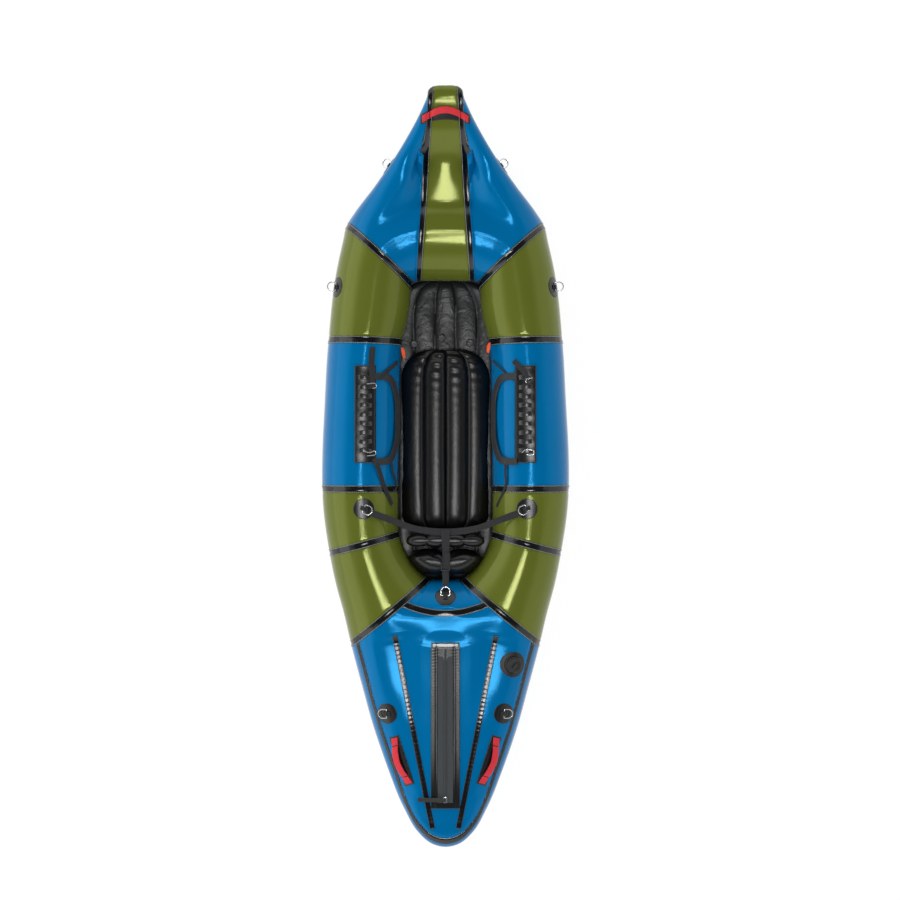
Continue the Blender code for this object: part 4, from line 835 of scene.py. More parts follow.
def layDeckStrips():
    kit = arcTape
    layStrip("rearArcTape", [(x, kit["y"] + kit["bow"] * (x / kit["half"]) ** 2)
                             for x in np.linspace(-kit["reach"], kit["reach"], 80)], kit["width"])
    for word, side in sides:
        start, end = (np.array(relief[key]) * (side, 1) for key in ("troughStart", "troughEnd"))
        plan = [start + (end - start) * share for share in np.linspace(*troughTape["shares"], 120)]
        layStrip("sternTrough" + word, plan, troughTape["width"])


layDeckStrips()
print("stern strips laid")

# D-rings: a round glued patch, a sewn webbing keeper and a bent wire ring
ringKit = {
    "patchDiameter": 0.076, "patchThickness": 0.0013, "patchLift": 0.0003, "patchCells": 26,
    "wire": 0.0040, "width": 0.033, "leg": 0.015, "corner": 0.004, "barHeight": 0.0041, "fixedLift": 0.0006,
    "keeperWidth": 0.016, "keeperWall": 0.0013, "keeperFoot": 0.010, "keeperPlay": 0.0006, "keeperRise": 0.0034,
}


def discStarts(centre, first, second, radius, cells):
    # a square grid drawn into a round, and each point's share of the radius
    line = np.linspace(-1, 1, cells + 1)
    a, b = np.meshgrid(line, line, indexing="ij")
    a, b = a * np.sqrt(1 - b ** 2 / 2), b * np.sqrt(1 - a ** 2 / 2)
    starts = (np.array(centre) + a[..., None] * radius * np.array(first) + b[..., None] * radius * np.array(second))
    return starts, np.sqrt(a ** 2 + b ** 2)


def wireCurve(name, points, diameter, cyclic, body="hull", node=None):
    curve = bpy.data.curves.new(name, "CURVE")
    curve.dimensions = "3D"
    curve.bevel_depth = diameter / 2
    curve.bevel_resolution = 5
    curve.use_fill_caps = not cyclic
    spline = curve.splines.new("POLY")
    spline.points.add(len(points) - 1)
    spline.use_cyclic_u = cyclic
    spline.use_smooth = True
    for knot, point in zip(spline.points, points):
        knot.co = (*point, 1)
    curve.materials.append(materials["polishedStainlessSteel"])
    joinFrame(placeObject(name, curve), body, node)


def arc(x, y, radius, angles):
    return [(x + radius * math.cos(angle), y + radius * math.sin(angle)) for angle in angles]


def ringLine():
    # a straight bar, two tight corners and a half circle, as distances along the bar and out from it
    half = ringKit["width"] / 2
    corner = ringKit["corner"]
    line = [(x, 0.0) for x in np.linspace(-half + corner, half - corner, 6)]
    line += arc(half - corner, corner, corner, np.linspace(-math.pi / 2, 0, 7)[1:])
    line += arc(0, ringKit["leg"], half, np.linspace(0, math.pi, 33))
    return line + arc(-half + corner, corner, corner, np.linspace(math.pi, 1.5 * math.pi, 7)[:-1])


def pieceName(node):
    words = node.split("_")
    return words[0] + "".join(word.capitalize() for word in words[1:])


def makeKeeper(name, foot, along, across, normal):
    # a band of webbing folded over the bar, with a foot to each side
    kit = ringKit
    outer = kit["wire"] / 2 + kit["keeperPlay"] + kit["keeperWall"]
    ends = [(outer + kit["keeperFoot"], kit["patchThickness"] + 0.0018), (outer + 0.001, kit["keeperRise"])]
    outline = np.array([(-x, y) for x, y in ends] + arc(0, kit["barHeight"], outer, np.linspace(math.pi, 0, 9))
                       + ends[::-1])
    dense = [first + (second - first) * share for first, second in zip(outline, outline[1:])
             for share in (0, 0.34, 0.67)] + [outline[-1]]
    centre = np.array([np.array(foot) + np.array(across) * a + np.array(normal) * n for a, n in dense])
    reach = np.linspace(-kit["keeperWidth"] / 2, kit["keeperWidth"] / 2, 7)
    points = centre[:, None, :] + np.array(along)[None, None, :] * reach[None, :, None]
    showPiece(name, sheetMesh(points), "blackNylonWebbing", thickness=kit["keeperWall"])


def makeRing(node):
    kit = ringKit
    place, bar = (Vector(values) for values in ringPlaces[node])
    along = bar.normalized()
    reach = Vector(np.mean([tuple(vert.co) for vert in nodes[node].data.vertices], axis=0)) - place
    reach = (reach - along * reach.dot(along)).normalized()
    spot = nearestOn(place)
    normal = Vector(skin(*spot)[1])
    normal = (normal - along * normal.dot(along)).normalized()
    across = normal.cross(along).normalized()
    body = node + "_body"
    if body not in bodies:
        body = "hull"
        place = Vector(skin(*spot, kit["barHeight"] + kit["fixedLift"])[0])
    foot = place - normal * kit["barHeight"]
    name = pieceName(node)
    starts, _ = discStarts(np.array(foot) + np.array(normal) * 0.06, along, across, kit["patchDiameter"] / 2,
                           kit["patchCells"])
    layPatch(name + "Patch", starts, -normal, kit["patchLift"], kit["patchThickness"], "blackCoatedNylon",
             node=node + "_patch")
    makeKeeper(name + "Keeper", foot, along, across, normal)
    wireCurve(name + "Wire", [place + along * a + reach * b for a, b in ringLine()], kit["wire"], True, body, node)


for node in ringPlaces:
    makeRing(node)
print("rings:", len(ringPlaces))

# Grab handles: a black glued patch, and red webbing sewn down at both ends
handleKit = {
    "patchWidth": 0.036, "patchOverhang": 0.006, "patchThickness": 0.0014, "patchLift": 0.0004, "patchRows": 45,
    "patchColumns": 13, "webbingWidth": 0.025, "webbingThickness": 0.0024, "lift": 0.0040, "arch": 0.009,
    "sewnShare": 0.16, "wave": 0.0007, "crown": 0.0008, "steps": 64,
}


def handleLift(loose):
    # height of the webbing over its patch; loose runs from 0 to 1 between the sewn ends
    kit = handleKit
    if 0 <= loose <= 1:
        return kit["lift"] + kit["arch"] * math.sin(math.pi * loose)
    beyond = -loose if loose < 0 else loose - 1
    return kit["lift"] * max(0, 1 - beyond * (1 - 2 * kit["sewnShare"]) / kit["sewnShare"]) ** 2


def makeHandle(node):
    kit = handleKit
    plan = handlePlan[node]
    start = Vector(plan["start"])
    end = Vector(plan["end"])
    heading = (end - start).normalized()
    side = Vector((-heading.y, heading.x))
    name = pieceName(node)
    reach = (end - start).length / 2 + kit["patchOverhang"]
    starts = np.ones((kit["patchRows"], kit["patchColumns"], 3))
    for row, first in enumerate(np.linspace(-1, 1, kit["patchRows"])):
        for column, second in enumerate(np.linspace(1, -1, kit["patchColumns"])):
            bow = plan["patchBulge"] * (1 - first ** 2)
            starts[row, column, :2] = (start.lerp(end, 0.5) + heading * (first * reach)
                                       + side * (second * kit["patchWidth"] / 2 + bow))
    layPatch(name + "Patch", starts, (0, 0, -1), kit["patchLift"], kit["patchThickness"], "blackCoatedNylon",
             flip=True, node=node + "_patch")
    chord = Vector((heading.x, heading.y, 0))
    base = kit["patchThickness"] + kit["webbingThickness"] / 2 + kit["patchLift"]
    grips = {"TabA": [], "Grip": [], "TabB": []}
    for step in range(kit["steps"] + 1):
        share = step / kit["steps"]
        spot = start.lerp(end, share) + side * (plan["bulge"] * math.sin(math.pi * share))
        point, normal = (Vector(values) for values in skin(*landOn((spot.x, spot.y, 1))))
        normal = (normal - chord * normal.dot(chord)).normalized()
        wide = normal.cross(chord).normalized()
        loose = (share - kit["sewnShare"]) / (1 - 2 * kit["sewnShare"])
        centre = point + normal * (base + handleLift(loose) + kit["wave"] * math.sin(share * math.pi * 9))
        row = [centre + wide * (kit["webbingWidth"] * across) + normal * (kit["crown"] * math.cos(across * math.pi))
               for across in np.linspace(0.5, -0.5, 9)]
        for word, held in (("TabA", loose <= 0.001), ("Grip", -0.001 <= loose <= 1.001), ("TabB", loose >= 0.999)):
            if held:
                grips[word].append(row)
    for word, rows in grips.items():
        place = {"body": node + "_body", "node": node} if word == "Grip" else {}
        showPiece(name + word, sheetMesh(np.array(rows), flip=True), "redNylonWebbing",
                  thickness=kit["webbingThickness"], **place)


for node in handlePlan:
    makeHandle(node)
print("handles:", len(handlePlan))

# Straps: a flat band with rounded edges, swept along a smooth line
bandSection = {"sides": 18, "flatness": 0.28, "edge": 0.75}


def smoothLine(points, steps=10):
    # a curve through points, with an even number of places from one to the next
    line = np.array(points, float)
    padded = np.concatenate((2 * line[:1] - line[1:2], line, 2 * line[-1:] - line[-2:-1]))
    out = []
    for span in range(len(line) - 1):
        a, b, c, d = padded[span:span + 4]
        for s in np.arange(steps) / steps:
            out.append(0.5 * (2 * b + (c - a) * s + (2 * a - 5 * b + 4 * c - d) * s ** 2
                              + (3 * b - a - 3 * c + d) * s ** 3))
    return np.array(out + [line[-1]])


def bandMesh(centres, normals, widths, thickness):
    centres = np.array(centres)
    heading = np.gradient(centres, axis=0)
    heading /= np.linalg.norm(heading, axis=1, keepdims=True)
    normals = np.broadcast_to(np.array(normals, float), centres.shape)
    normals = normals - heading * (normals * heading).sum(axis=1, keepdims=True)
    normals = normals / np.linalg.norm(normals, axis=1, keepdims=True)
    side = np.cross(heading, normals)
    widths = np.broadcast_to(np.array(widths, float), (len(centres),))[:, None]
    angle = np.linspace(0, 2 * math.pi, bandSection["sides"] + 1)
    across, out = (np.sign(way) * np.abs(way) ** bandSection[key]
                   for way, key in ((np.cos(angle), "flatness"), (np.sin(angle), "edge")))
    points = (centres[:, None, :] + side[:, None, :] * (widths / 2 * across)[..., None]
              + normals[:, None, :] * (thickness / 2 * out)[None, :, None])
    first, last = (np.broadcast_to(centres[place][None, None, :], (1,) + points.shape[1:]) for place in (0, -1))
    points = np.concatenate((first, points, last))
    points[:, -1] = points[:, 0]
    return solidMesh(points)


def makeStrap(name, route, normals, width, thickness, material="blackNylonWebbing", body="hull", node=None):
    if np.array(normals).ndim > 1:
        normals = smoothLine(normals)
    if np.array(width).ndim:
        width = smoothLine(width)
    showPiece(name, bandMesh(smoothLine(route), normals, width, thickness), material, body, node)


def deckRoute(plan, lift):
    # points and normals of the hull under a line of plan points, at a level over it
    spots = [skin(*landOn((x, y, 1)), level) for (x, y), level in zip(plan, np.broadcast_to(lift, len(plan)))]
    return [point for point, _ in spots], [normal for _, normal in spots]


def turnedMesh(profile, cells, place, axis, wobble=None):
    # a profile of radius, height and share of the wobble, turned round an axis
    axis = Vector(axis).normalized()
    first = axis.orthogonal().normalized()
    second = axis.cross(first)
    angle = np.linspace(0, 2 * math.pi, cells + 1)[:, None]
    ring = np.cos(angle) * np.array(first) + np.sin(angle) * np.array(second)
    line = np.array(profile)
    radius = line[None, :, 0] * np.ones_like(angle)
    if wobble is not None:
        radius = radius * (1 + wobble(angle) * line[None, :, 2])
    points = (np.array(place)[None, None, :] + ring[:, None, :] * radius[..., None]
              + np.array(axis)[None, None, :] * line[None, :, 1, None])
    points[-1] = points[0]
    return solidMesh(points)


def deckGrid(xs, ys):
    starts = np.ones((len(ys), len(xs), 3))
    starts[..., 0] = np.array(xs)[None, :]
    starts[..., 1] = np.array(ys)[:, None]
    return dropSheet(starts)


# Cargo zip: a welded patch with raised hems, a woven tape and its coil, lying along the deck
zipKit = {
    "from": -0.634, "to": -1.246, "half": 0.053, "rows": 190, "patchThickness": 0.0016, "patchLift": 0.0004,
    "patchShares": (0, 0.3, 0.5, 0.55, 0.6, 0.66, 0.72, 0.8, 0.9, 0.97, 1),
    "hemHeight": 0.0011, "hemPlace": 0.62, "hemReach": 0.07, "crinkleHeight": 0.0006, "crinkleReach": 0.12,
    "tapeFrom": -0.657, "tapeTo": -1.2231, "tapeThickness": 0.0010, "tapeLift": 0.0029, "tapeWave": 0.0004,
    "tapeHalves": (0.0275, 0.026, 0.019, 0.011, 0.0046, 0.0036, 0.0030, 0.0024, 0.0014, 0.0006, 0.0002),
    "coilHalf": 0.0030, "coilLift": 0.0047, "coilGroove": 0.0012, "grooveHalf": 0.0004, "toothPitch": 0.0030,
    "toothHeight": 0.0005,
    "sinkFrom": -0.745, "sinkTo": -0.685, "sink": 0.0016,      # leaves the slider its straight path
    "stripX": 0.040, "stripWidth": 0.021, "stripLift": 0.0023, "crossY": -0.6440, "crossWidth": 0.017,
    "crossLift": 0.0034,
}


def makeZipPatch():
    kit = zipKit
    shares = np.array(kit["patchShares"])
    shares = np.concatenate((-shares[:0:-1], shares))
    xs = shares * kit["half"]
    ys = np.linspace(kit["from"], kit["to"], kit["rows"])
    gap = np.abs(shares)[None, :]
    run = ramp(ys[:, None], kit["from"], kit["to"])
    # a hem beside the tape, and crinkles near the bow end
    hem = kit["hemHeight"] * np.exp(-((gap - kit["hemPlace"]) / kit["hemReach"]) ** 2)
    crinkle = (kit["crinkleHeight"] * np.sin(ys[:, None] * 560 + np.sin(xs[None, :] * 90) * 1.5)
               * np.exp(-run / kit["crinkleReach"]) * (gap > 0.5) * (gap < 0.95))
    points, _ = skin(*deckGrid(xs, ys), kit["patchLift"] + hem + crinkle + kit["patchThickness"])
    showPiece("zipPatch", sheetMesh(points, flip=True), "blackCoatedNylon", node="zip_patch",
              thickness=kit["patchThickness"])


def makeZipTape():
    kit = zipKit
    half = np.array(kit["tapeHalves"])
    xs = np.concatenate((-half, half[::-1]))
    ys = np.arange(kit["tapeFrom"], kit["tapeTo"], -kit["toothPitch"] / 3)
    away = np.abs(xs)[None, :]
    along = ys[:, None]
    tooth = kit["toothHeight"] * np.cos(2 * math.pi * along / kit["toothPitch"] + (xs[None, :] > 0) * math.pi)
    coil = kit["coilLift"] + np.where(away > kit["grooveHalf"], tooth, -kit["coilGroove"])
    tape = kit["tapeLift"] + kit["tapeWave"] * np.sin(along * 70) * (away > 0.01)
    level = np.where(away < kit["coilHalf"] + 0.0001, coil, tape)
    level = level - kit["sink"] * ramp(along, kit["sinkFrom"], kit["sinkTo"])
    points, _ = skin(*deckGrid(xs, ys), level + kit["tapeThickness"])
    showPiece("zipTape", sheetMesh(points, flip=True), "greyZipTape", node="zip_tape", thickness=kit["tapeThickness"])
    for word, side in sides:
        layStrip("zipHem" + word, [(side * kit["stripX"], y) for y in np.linspace(-0.640, -1.240, 100)],
                 kit["stripWidth"], kit["stripLift"])
    layStrip("zipCrossHem", [(x, kit["crossY"]) for x in np.linspace(-0.050, 0.050, 30)], kit["crossWidth"],
             kit["crossLift"])


makeZipPatch()
makeZipTape()
for node, material in (("zip_slider", "polishedStainlessSteel"), ("zip_pull", "mouldedBlackAcetal")):
    nodes[node].data.materials.clear()
    nodes[node].data.materials.append(materials[material])
print("zip made")

# Inflation valve: a welded flange, a collar and a quarter-turn cap with finger grips
valveKit = {
    "place": (0.25473, -0.71732, 0.28178), "axis": (0.44079, -0.10498, 0.89145), "flange": 0.047, "flangeCells": 30,
    "flangeLift": 0.0016, "flangeThickness": 0.0012,
    "ridges": ((0.0007, 0.90, 0.035), (0.0009, 0.74, 0.05)),      # height, share of the radius, and reach
    "collar": [(0.0120, 0.0070), (0.0180, 0.0074), (0.0205, 0.0070), (0.0220, 0.0050), (0.0224, 0.0012),
               (0.0120, 0.0012), (0.0120, 0.0070)],
    "cap": [(0, 0.0110, 0), (0.008, 0.0109, 0), (0.012, 0.0104, 0), (0.016, 0.0106, 0), (0.0185, 0.0122, 0),
            (0.024, 0.0128, 0), (0.0285, 0.0120, 0.6), (0.0305, 0.0100, 1), (0.0308, 0.0055, 1),
            (0.0296, 0.0032, 0.8), (0.0270, 0.0030, 0), (0.0262, 0.0080, 0), (0, 0.0082, 0)],
    "grips": 6, "gripDepth": 0.035, "barHeight": 0.0118, "barHalf": 0.0125, "barWidth": 0.006, "barThickness": 0.004,
}


def makeValve():
    kit = valveKit
    axis = Vector(kit["axis"]).normalized()
    wide = axis.orthogonal().normalized()
    foot, _, _, _ = lookup["tree"].find_nearest(Vector(kit["place"]))
    starts, reach = discStarts(np.array(foot) + np.array(axis) * 0.08, wide, axis.cross(wide), kit["flange"],
                               kit["flangeCells"])
    ridge = sum(height * np.exp(-((reach - place) / span) ** 2) for height, place, span in kit["ridges"])
    points, _ = skin(*dropSheet(starts, -axis), kit["flangeLift"] + ridge)
    showPiece("valveFlange", sheetMesh(points), "mouldedBlackAcetal", thickness=kit["flangeThickness"])
    showPiece("valveCollar", turnedMesh(kit["collar"], 64, foot, axis), "mouldedBlackAcetal", node="valve_base")

    def grip(angle):
        return kit["gripDepth"] * np.clip(np.cos(angle * kit["grips"]) * 2 - 1, -1, 0)

    showPiece("valveCap", turnedMesh(kit["cap"], 144, foot, axis, grip), "mouldedBlackAcetal", "valve_cap_body",
              "valve_cap")
    centre = foot + axis * kit["barHeight"]
    makeStrap("valveGripBar", [centre + wide * (kit["barHalf"] * end) for end in (-1, 0, 1)], tuple(axis),
              kit["barWidth"], kit["barThickness"], "mouldedBlackAcetal", "valve_cap_body")


makeValve()

# Laced patches on the side tubes, with the thigh straps that hook to them
laceKit = {
    "x": 0.2950, "y": 0.2050, "length": 0.358, "width": 0.077, "patchLift": 0.0024, "patchWave": 0.0003,
    "patchThickness": 0.0014, "rungs": 9, "pitch": 0.0335, "reach": 0.046, "rungWidth": 0.017,
    "rungThickness": 0.0030, "rungLift": 0.0030, "rise": 0.0050, "sway": 0.002,
}
thighKit = {
    "middle": 0.1875, "half": 0.1575, "axisX": 0.3128, "axisZ": 0.1457, "outer": 20, "inner": 66, "lift": 0.0060,
    "wave": 0.0012, "narrow": 0.024, "wide": 0.036, "thickness": 0.0052, "stations": 29,
}
# Loose tails and wire hooks: a line of plan points, and a width
strapTails = {
    "laceTailForeLeft": ([(-0.268, 0.300), (-0.270, 0.345), (-0.272, 0.400), (-0.268, 0.452)], 0.022),
    "laceTailAftLeft": ([(-0.266, 0.042), (-0.250, 0.006), (-0.228, -0.060), (-0.200, -0.128)], 0.018),
    "laceTailForeRight": ([(0.305, 0.325), (0.296, 0.350), (0.280, 0.372), (0.252, 0.402)], 0.020),
    "thighTailAftLeft": ([(-0.206, 0.032), (-0.200, -0.010), (-0.190, -0.075), (-0.174, -0.160)], 0.010),
    "thighTailAftRight": ([(0.226, 0.030), (0.226, -0.010), (0.224, -0.060), (0.192, -0.135)], 0.010),
    "thighCordForeRight": ([(0.178, 0.405), (0.200, 0.385), (0.228, 0.352), (0.252, 0.330)], 0.008),
    "thighTailForeLeft": ([(-0.248, 0.334), (-0.226, 0.356), (-0.204, 0.376), (-0.180, 0.398)], 0.016),
}
tailKit = {"lift": 0.0060, "sway": 0.0030, "thickness": 0.0022}
laceHooks = {
    "laceHookForeLeft": [(-0.290, 0.316), (-0.262, 0.318), (-0.258, 0.304), (-0.270, 0.300)],
    "laceHookAftLeft": [(-0.296, 0.068), (-0.280, 0.064), (-0.262, 0.070), (-0.262, 0.056), (-0.290, 0.052)],
    "laceHookForeRight": [(0.318, 0.338), (0.300, 0.334), (0.296, 0.320)],
    "laceHookAftRight": [(0.284, 0.064), (0.296, 0.074), (0.322, 0.072), (0.322, 0.056), (0.300, 0.056)],
}
hookKit = {"wire": 0.0034, "lift": 0.0095}


def makeLacing(word, side):
    kit = laceKit
    xs = side * kit["x"] + np.linspace(-0.5, 0.5, 15) * kit["width"]
    ys = kit["y"] + np.linspace(0.5, -0.5, 80) * kit["length"]
    seam = kit["patchWave"] * np.sin(ys[:, None] * 130 + xs[None, :] * 40)
    points, _ = skin(*deckGrid(xs, ys), kit["patchLift"] + seam)
    showPiece("lacingPatch" + word, sheetMesh(points, flip=True), "blackCoatedNylon", thickness=kit["patchThickness"])
    mesh = bmesh.new()
    shares = np.linspace(0, 1, 9)
    levels = kit["rungLift"] + kit["rise"] * np.sin(np.linspace(0, math.pi, 9)) ** 0.7
    for rung in range(kit["rungs"]):
        y = kit["y"] + (rung - (kit["rungs"] - 1) / 2) * kit["pitch"]
        plan = [(side * kit["x"] + kit["reach"] * (share - 0.5), y + kit["sway"] * math.sin(rung * 2.4 + share * 5))
                for share in shares]
        route, normals = deckRoute(plan, levels)
        piece = bandMesh(smoothLine(route, 4), smoothLine(normals, 4), kit["rungWidth"], kit["rungThickness"])
        data = bpy.data.meshes.new("rung")
        piece.to_mesh(data)
        piece.free()
        mesh.from_mesh(data)
        bpy.data.meshes.remove(data)
    showPiece("lacingRungs" + word, mesh, "glossyWebbing")


def makeThighStrap(word, side):
    kit = thighKit
    rows = []
    for turn in np.linspace(0, math.pi, kit["stations"]):
        swell = math.sin(turn) ** 0.5 if 0 < turn < math.pi else 0
        angle = math.radians(kit["outer"] + (kit["inner"] - kit["outer"]) * swell)
        radius = hull["tube"] / 2 + kit["lift"] + kit["wave"] * math.sin(turn * 7)
        normal = np.array((-side * math.sin(angle), 0, math.cos(angle)))
        place = np.array((side * kit["axisX"], kit["middle"] + kit["half"] * math.cos(turn), kit["axisZ"]))
        rows.append((*(place + normal * radius), *normal, kit["narrow"] + (kit["wide"] - kit["narrow"]) * swell ** 2))
    rows = smoothLine(rows, 3)
    showPiece("thighStrap" + word, bandMesh(rows[:, :3], rows[:, 3:6], rows[:, 6], kit["thickness"]),
              "paddedBlackStrap", node="thigh_strap_" + word.lower())


for word, side in sides:
    makeLacing(word, side)
    makeThighStrap(word, side)
for name, (plan, width) in strapTails.items():
    lifts = tailKit["lift"] + tailKit["sway"] * np.sin(np.arange(len(plan)) * 1.7 + 0.4)
    makeStrap(name, *deckRoute(plan, lifts), width, tailKit["thickness"])
for name, plan in laceHooks.items():
    wireCurve(name, smoothLine(deckRoute(plan, hookKit["lift"])[0], 6), hookKit["wire"], False)
print("lacing and thigh straps made")

# Back strap: webbing from hip ring to hip ring, with a rear leg through a ladder-lock buckle
backKit = {
    "width": 0.025, "thickness": 0.0026, "foldThickness": 0.0024,
    "half": [(0.2775, -0.1555, 0.2915), (0.2400, -0.1690, 0.2890), (0.2000, -0.1840, 0.2831),
             (0.1200, -0.2141, 0.2680), (0.0500, -0.2260, 0.2620)], "middle": (0.0, -0.2281, 0.2600),
    "tilts": [(0.10, 0.12, 1), (0.10, 0.05, 1), (0.14, -0.10, 1), (0.16, -0.25, 1), (0.05, -0.15, 1)],
    "middleTilt": (0, -0.10, 1),
    "fold": [(0.2810, -0.1545, 0.2890), (0.2600, -0.1620, 0.2870), (0.2300, -0.1735, 0.2845)],
    "leg": [(0, -0.2180, 0.2635), (0.001, -0.2600, 0.2640), (0.002, -0.3100, 0.2610), (0, -0.3570, 0.2600),
            (0.001, -0.3950, 0.2600), (0, -0.4270, 0.2610)], "legWidths": (0.036, 0.029, 0.025, 0.024, 0.024, 0.024),
    "tail": [(0.003, -0.3640, 0.2650), (0.006, -0.3350, 0.2690), (0.007, -0.3050, 0.2665)], "tailWidth": 0.021,
    "tailThickness": 0.0022, "buckle": (0.0, -0.357, 0.2618), "bevel": 0.0014,
    # size and offset of the buckle's side rails and bars
    "buckleParts": [((0.0045, 0.030, 0.0060), (-0.0148, 0, 0)), ((0.0045, 0.030, 0.0060), (0.0148, 0, 0)),
                    ((0.030, 0.0048, 0.0050), (0, -0.0125, 0.0012)), ((0.030, 0.0048, 0.0065), (0, 0, 0.0012)),
                    ((0.030, 0.0048, 0.0050), (0, 0.0125, 0.0012))],
}


def bothWays(line, middle):
    return line + [middle] + [(-x, y, z) for x, y, z in reversed(line)]


def makeBackStrap():
    kit = backKit
    makeStrap("backStrap", bothWays(kit["half"], kit["middle"]), bothWays(kit["tilts"], kit["middleTilt"]),
              kit["width"], kit["thickness"], node="back_strap")
    for word, side in sides:
        makeStrap("backStrapFold" + word, [(side * x, y, z) for x, y, z in kit["fold"]], (0.1 * side, 0.05, 1),
                  kit["width"], kit["foldThickness"])
    makeStrap("rearLeg", kit["leg"], (0, 0.02, 1), kit["legWidths"], kit["thickness"])
    makeStrap("rearLegTail", kit["tail"], (0.1, 0.05, 1), kit["tailWidth"], kit["tailThickness"])
    mesh = bmesh.new()
    for size, offset in kit["buckleParts"]:
        made = bmesh.ops.create_cube(mesh, size=1)
        bmesh.ops.scale(mesh, verts=made["verts"], vec=size)
        bmesh.ops.translate(mesh, verts=made["verts"], vec=np.array(kit["buckle"]) + offset)
        edges = list({edge for vert in made["verts"] for edge in vert.link_edges})
        bmesh.ops.bevel(mesh, geom=edges, offset=kit["bevel"], segments=3, profile=0.5, affect="EDGES", material=-1)
    showPiece("ladderLock", mesh, "mouldedBlackAcetal")


makeBackStrap()
print("back strap made")

# Cushions: closed, crowned forms with drawn-in sides and sewn channels, then swollen as cloth
cushionBase = {
    "channels": 4, "columns": 20, "rows": 70, "wrinkle": 0.10, "upright": False, "taper": 0, "crown": 0,
    "material": "blackSeatFilm", "fill": 0.8, "pressure": 4,
}
cushions = {
    "seatCushion": {
        "node": "seat_cushion", "half": 0.160, "from": -0.224, "to": 0.448, "base": 0.0500, "top": 0.1300,
        "seam": 0.50, "endRound": 0.060, "cornerFrom": 0.060, "cornerTo": 0.110, "rows": 150, "wrinkle": 0.20,
        "wrinkleReach": 0.050, "wave": 0.036, "crown": 0.55, "pressure": 3, "cap": 0.012, "grow": -0.07,
    },
    "backrestCushion": {
        "node": "backrest", "half": 0.142, "from": 0.052, "to": 0.241, "base": -0.286, "top": -0.240,
        "seam": 0.35, "endRound": 0.026, "cornerFrom": 0.030, "cornerTo": 0.030, "wrinkleReach": 0.040,
        "wave": 0.022, "upright": True, "cap": 0.007, "grow": -0.03,
    },
    "backBolster": {
        "node": "back_bolster", "half": 0.132, "from": 0.052, "to": 0.231, "base": -0.391, "top": -0.299,
        "channels": 2, "columns": 32, "seam": 0.45, "endRound": 0.052, "cornerFrom": 0.040, "cornerTo": 0.060,
        "wrinkleReach": 0.060, "wave": 0.034, "upright": True, "taper": 0.35, "fill": 0.7, "cap": 0.009,
        "grow": -0.04,
    },
    "floorMat": {
        "node": "floor_mat", "half": 0.199, "from": -0.420, "to": 0.715, "base": 0.0040, "top": 0.0440,
        "channels": 5, "seam": 0.72, "endRound": 0.040, "cornerFrom": 0.140, "cornerTo": 0.140, "rows": 190,
        "wrinkleReach": 0.300, "wave": 0.260, "material": "greyMatFilm", "fill": 0.6, "pressure": 0,
    },
}


def cushionPoints(kit):
    # rows along the length; each row runs over the top from port to starboard and back underneath
    low, high = kit["from"], kit["to"]
    share = np.linspace(0, math.pi, kit["rows"] + 1)
    along = low + (high - low) * (0.5 - 0.5 * np.cos(share)) * 0.35 + (high - low) * 0.65 * share / math.pi
    s = np.linspace(-1, 1, kit["columns"] * kit["channels"] + 1)
    place = (s + 1) / 2 * kit["channels"]
    within = np.where(s >= 1, 1, (place - np.floor(place)) * 2 - 1)
    lane = np.floor(np.clip(place, 0, kit["channels"] - 0.001))
    # the outer side of the outer channels goes down to the base, and the other seams stay up
    seam = np.where((np.abs(s) > 1 - 1 / kit["channels"]) & (np.sign(within) == np.sign(s)), 0, kit["seam"])
    profile = seam + (1 - seam) * np.sqrt(np.clip(1 - within ** 2, 0, 1))
    middle = (kit["base"] + kit["top"]) / 2
    reach = (kit["top"] - kit["base"]) / 2
    lean = -kit["taper"] * reach * s ** 2
    rows = []
    for l in along:
        toEnd = min(l - low, high - l)
        envelope = math.sqrt(max(0, 1 - (1 - min(1, toEnd / kit["endRound"])) ** 2))
        width = kit["half"]
        for gap, corner in ((l - low, kit["cornerFrom"]), (high - l, kit["cornerTo"])):
            if gap < corner:
                width = min(width, kit["half"] - corner + math.sqrt(max(0, corner ** 2 - (corner - gap) ** 2)))
        fold = kit["wrinkle"] * math.exp(-(high - l) / kit["wrinkleReach"])
        pleat = 1 + fold * np.sin(2 * math.pi * l / kit["wave"] + lane * 2.1 + s * 3)
        upper = middle + reach * envelope * profile * pleat * (1 - (kit["taper"] + kit["crown"]) * s ** 2) - lean
        lower = middle - reach * envelope * profile * (1 - kit["taper"] * s ** 2) - lean
        line = np.full_like(s, l)
        rows.append(np.concatenate((np.stack((s * width, line, upper), axis=-1),
                                    np.stack((s * width, line, lower), axis=-1)[::-1])))
    points = np.array(rows)
    if kit["upright"]:
        points = points[..., (0, 2, 1)]
    return np.concatenate((points, points[:, :1]), axis=1)


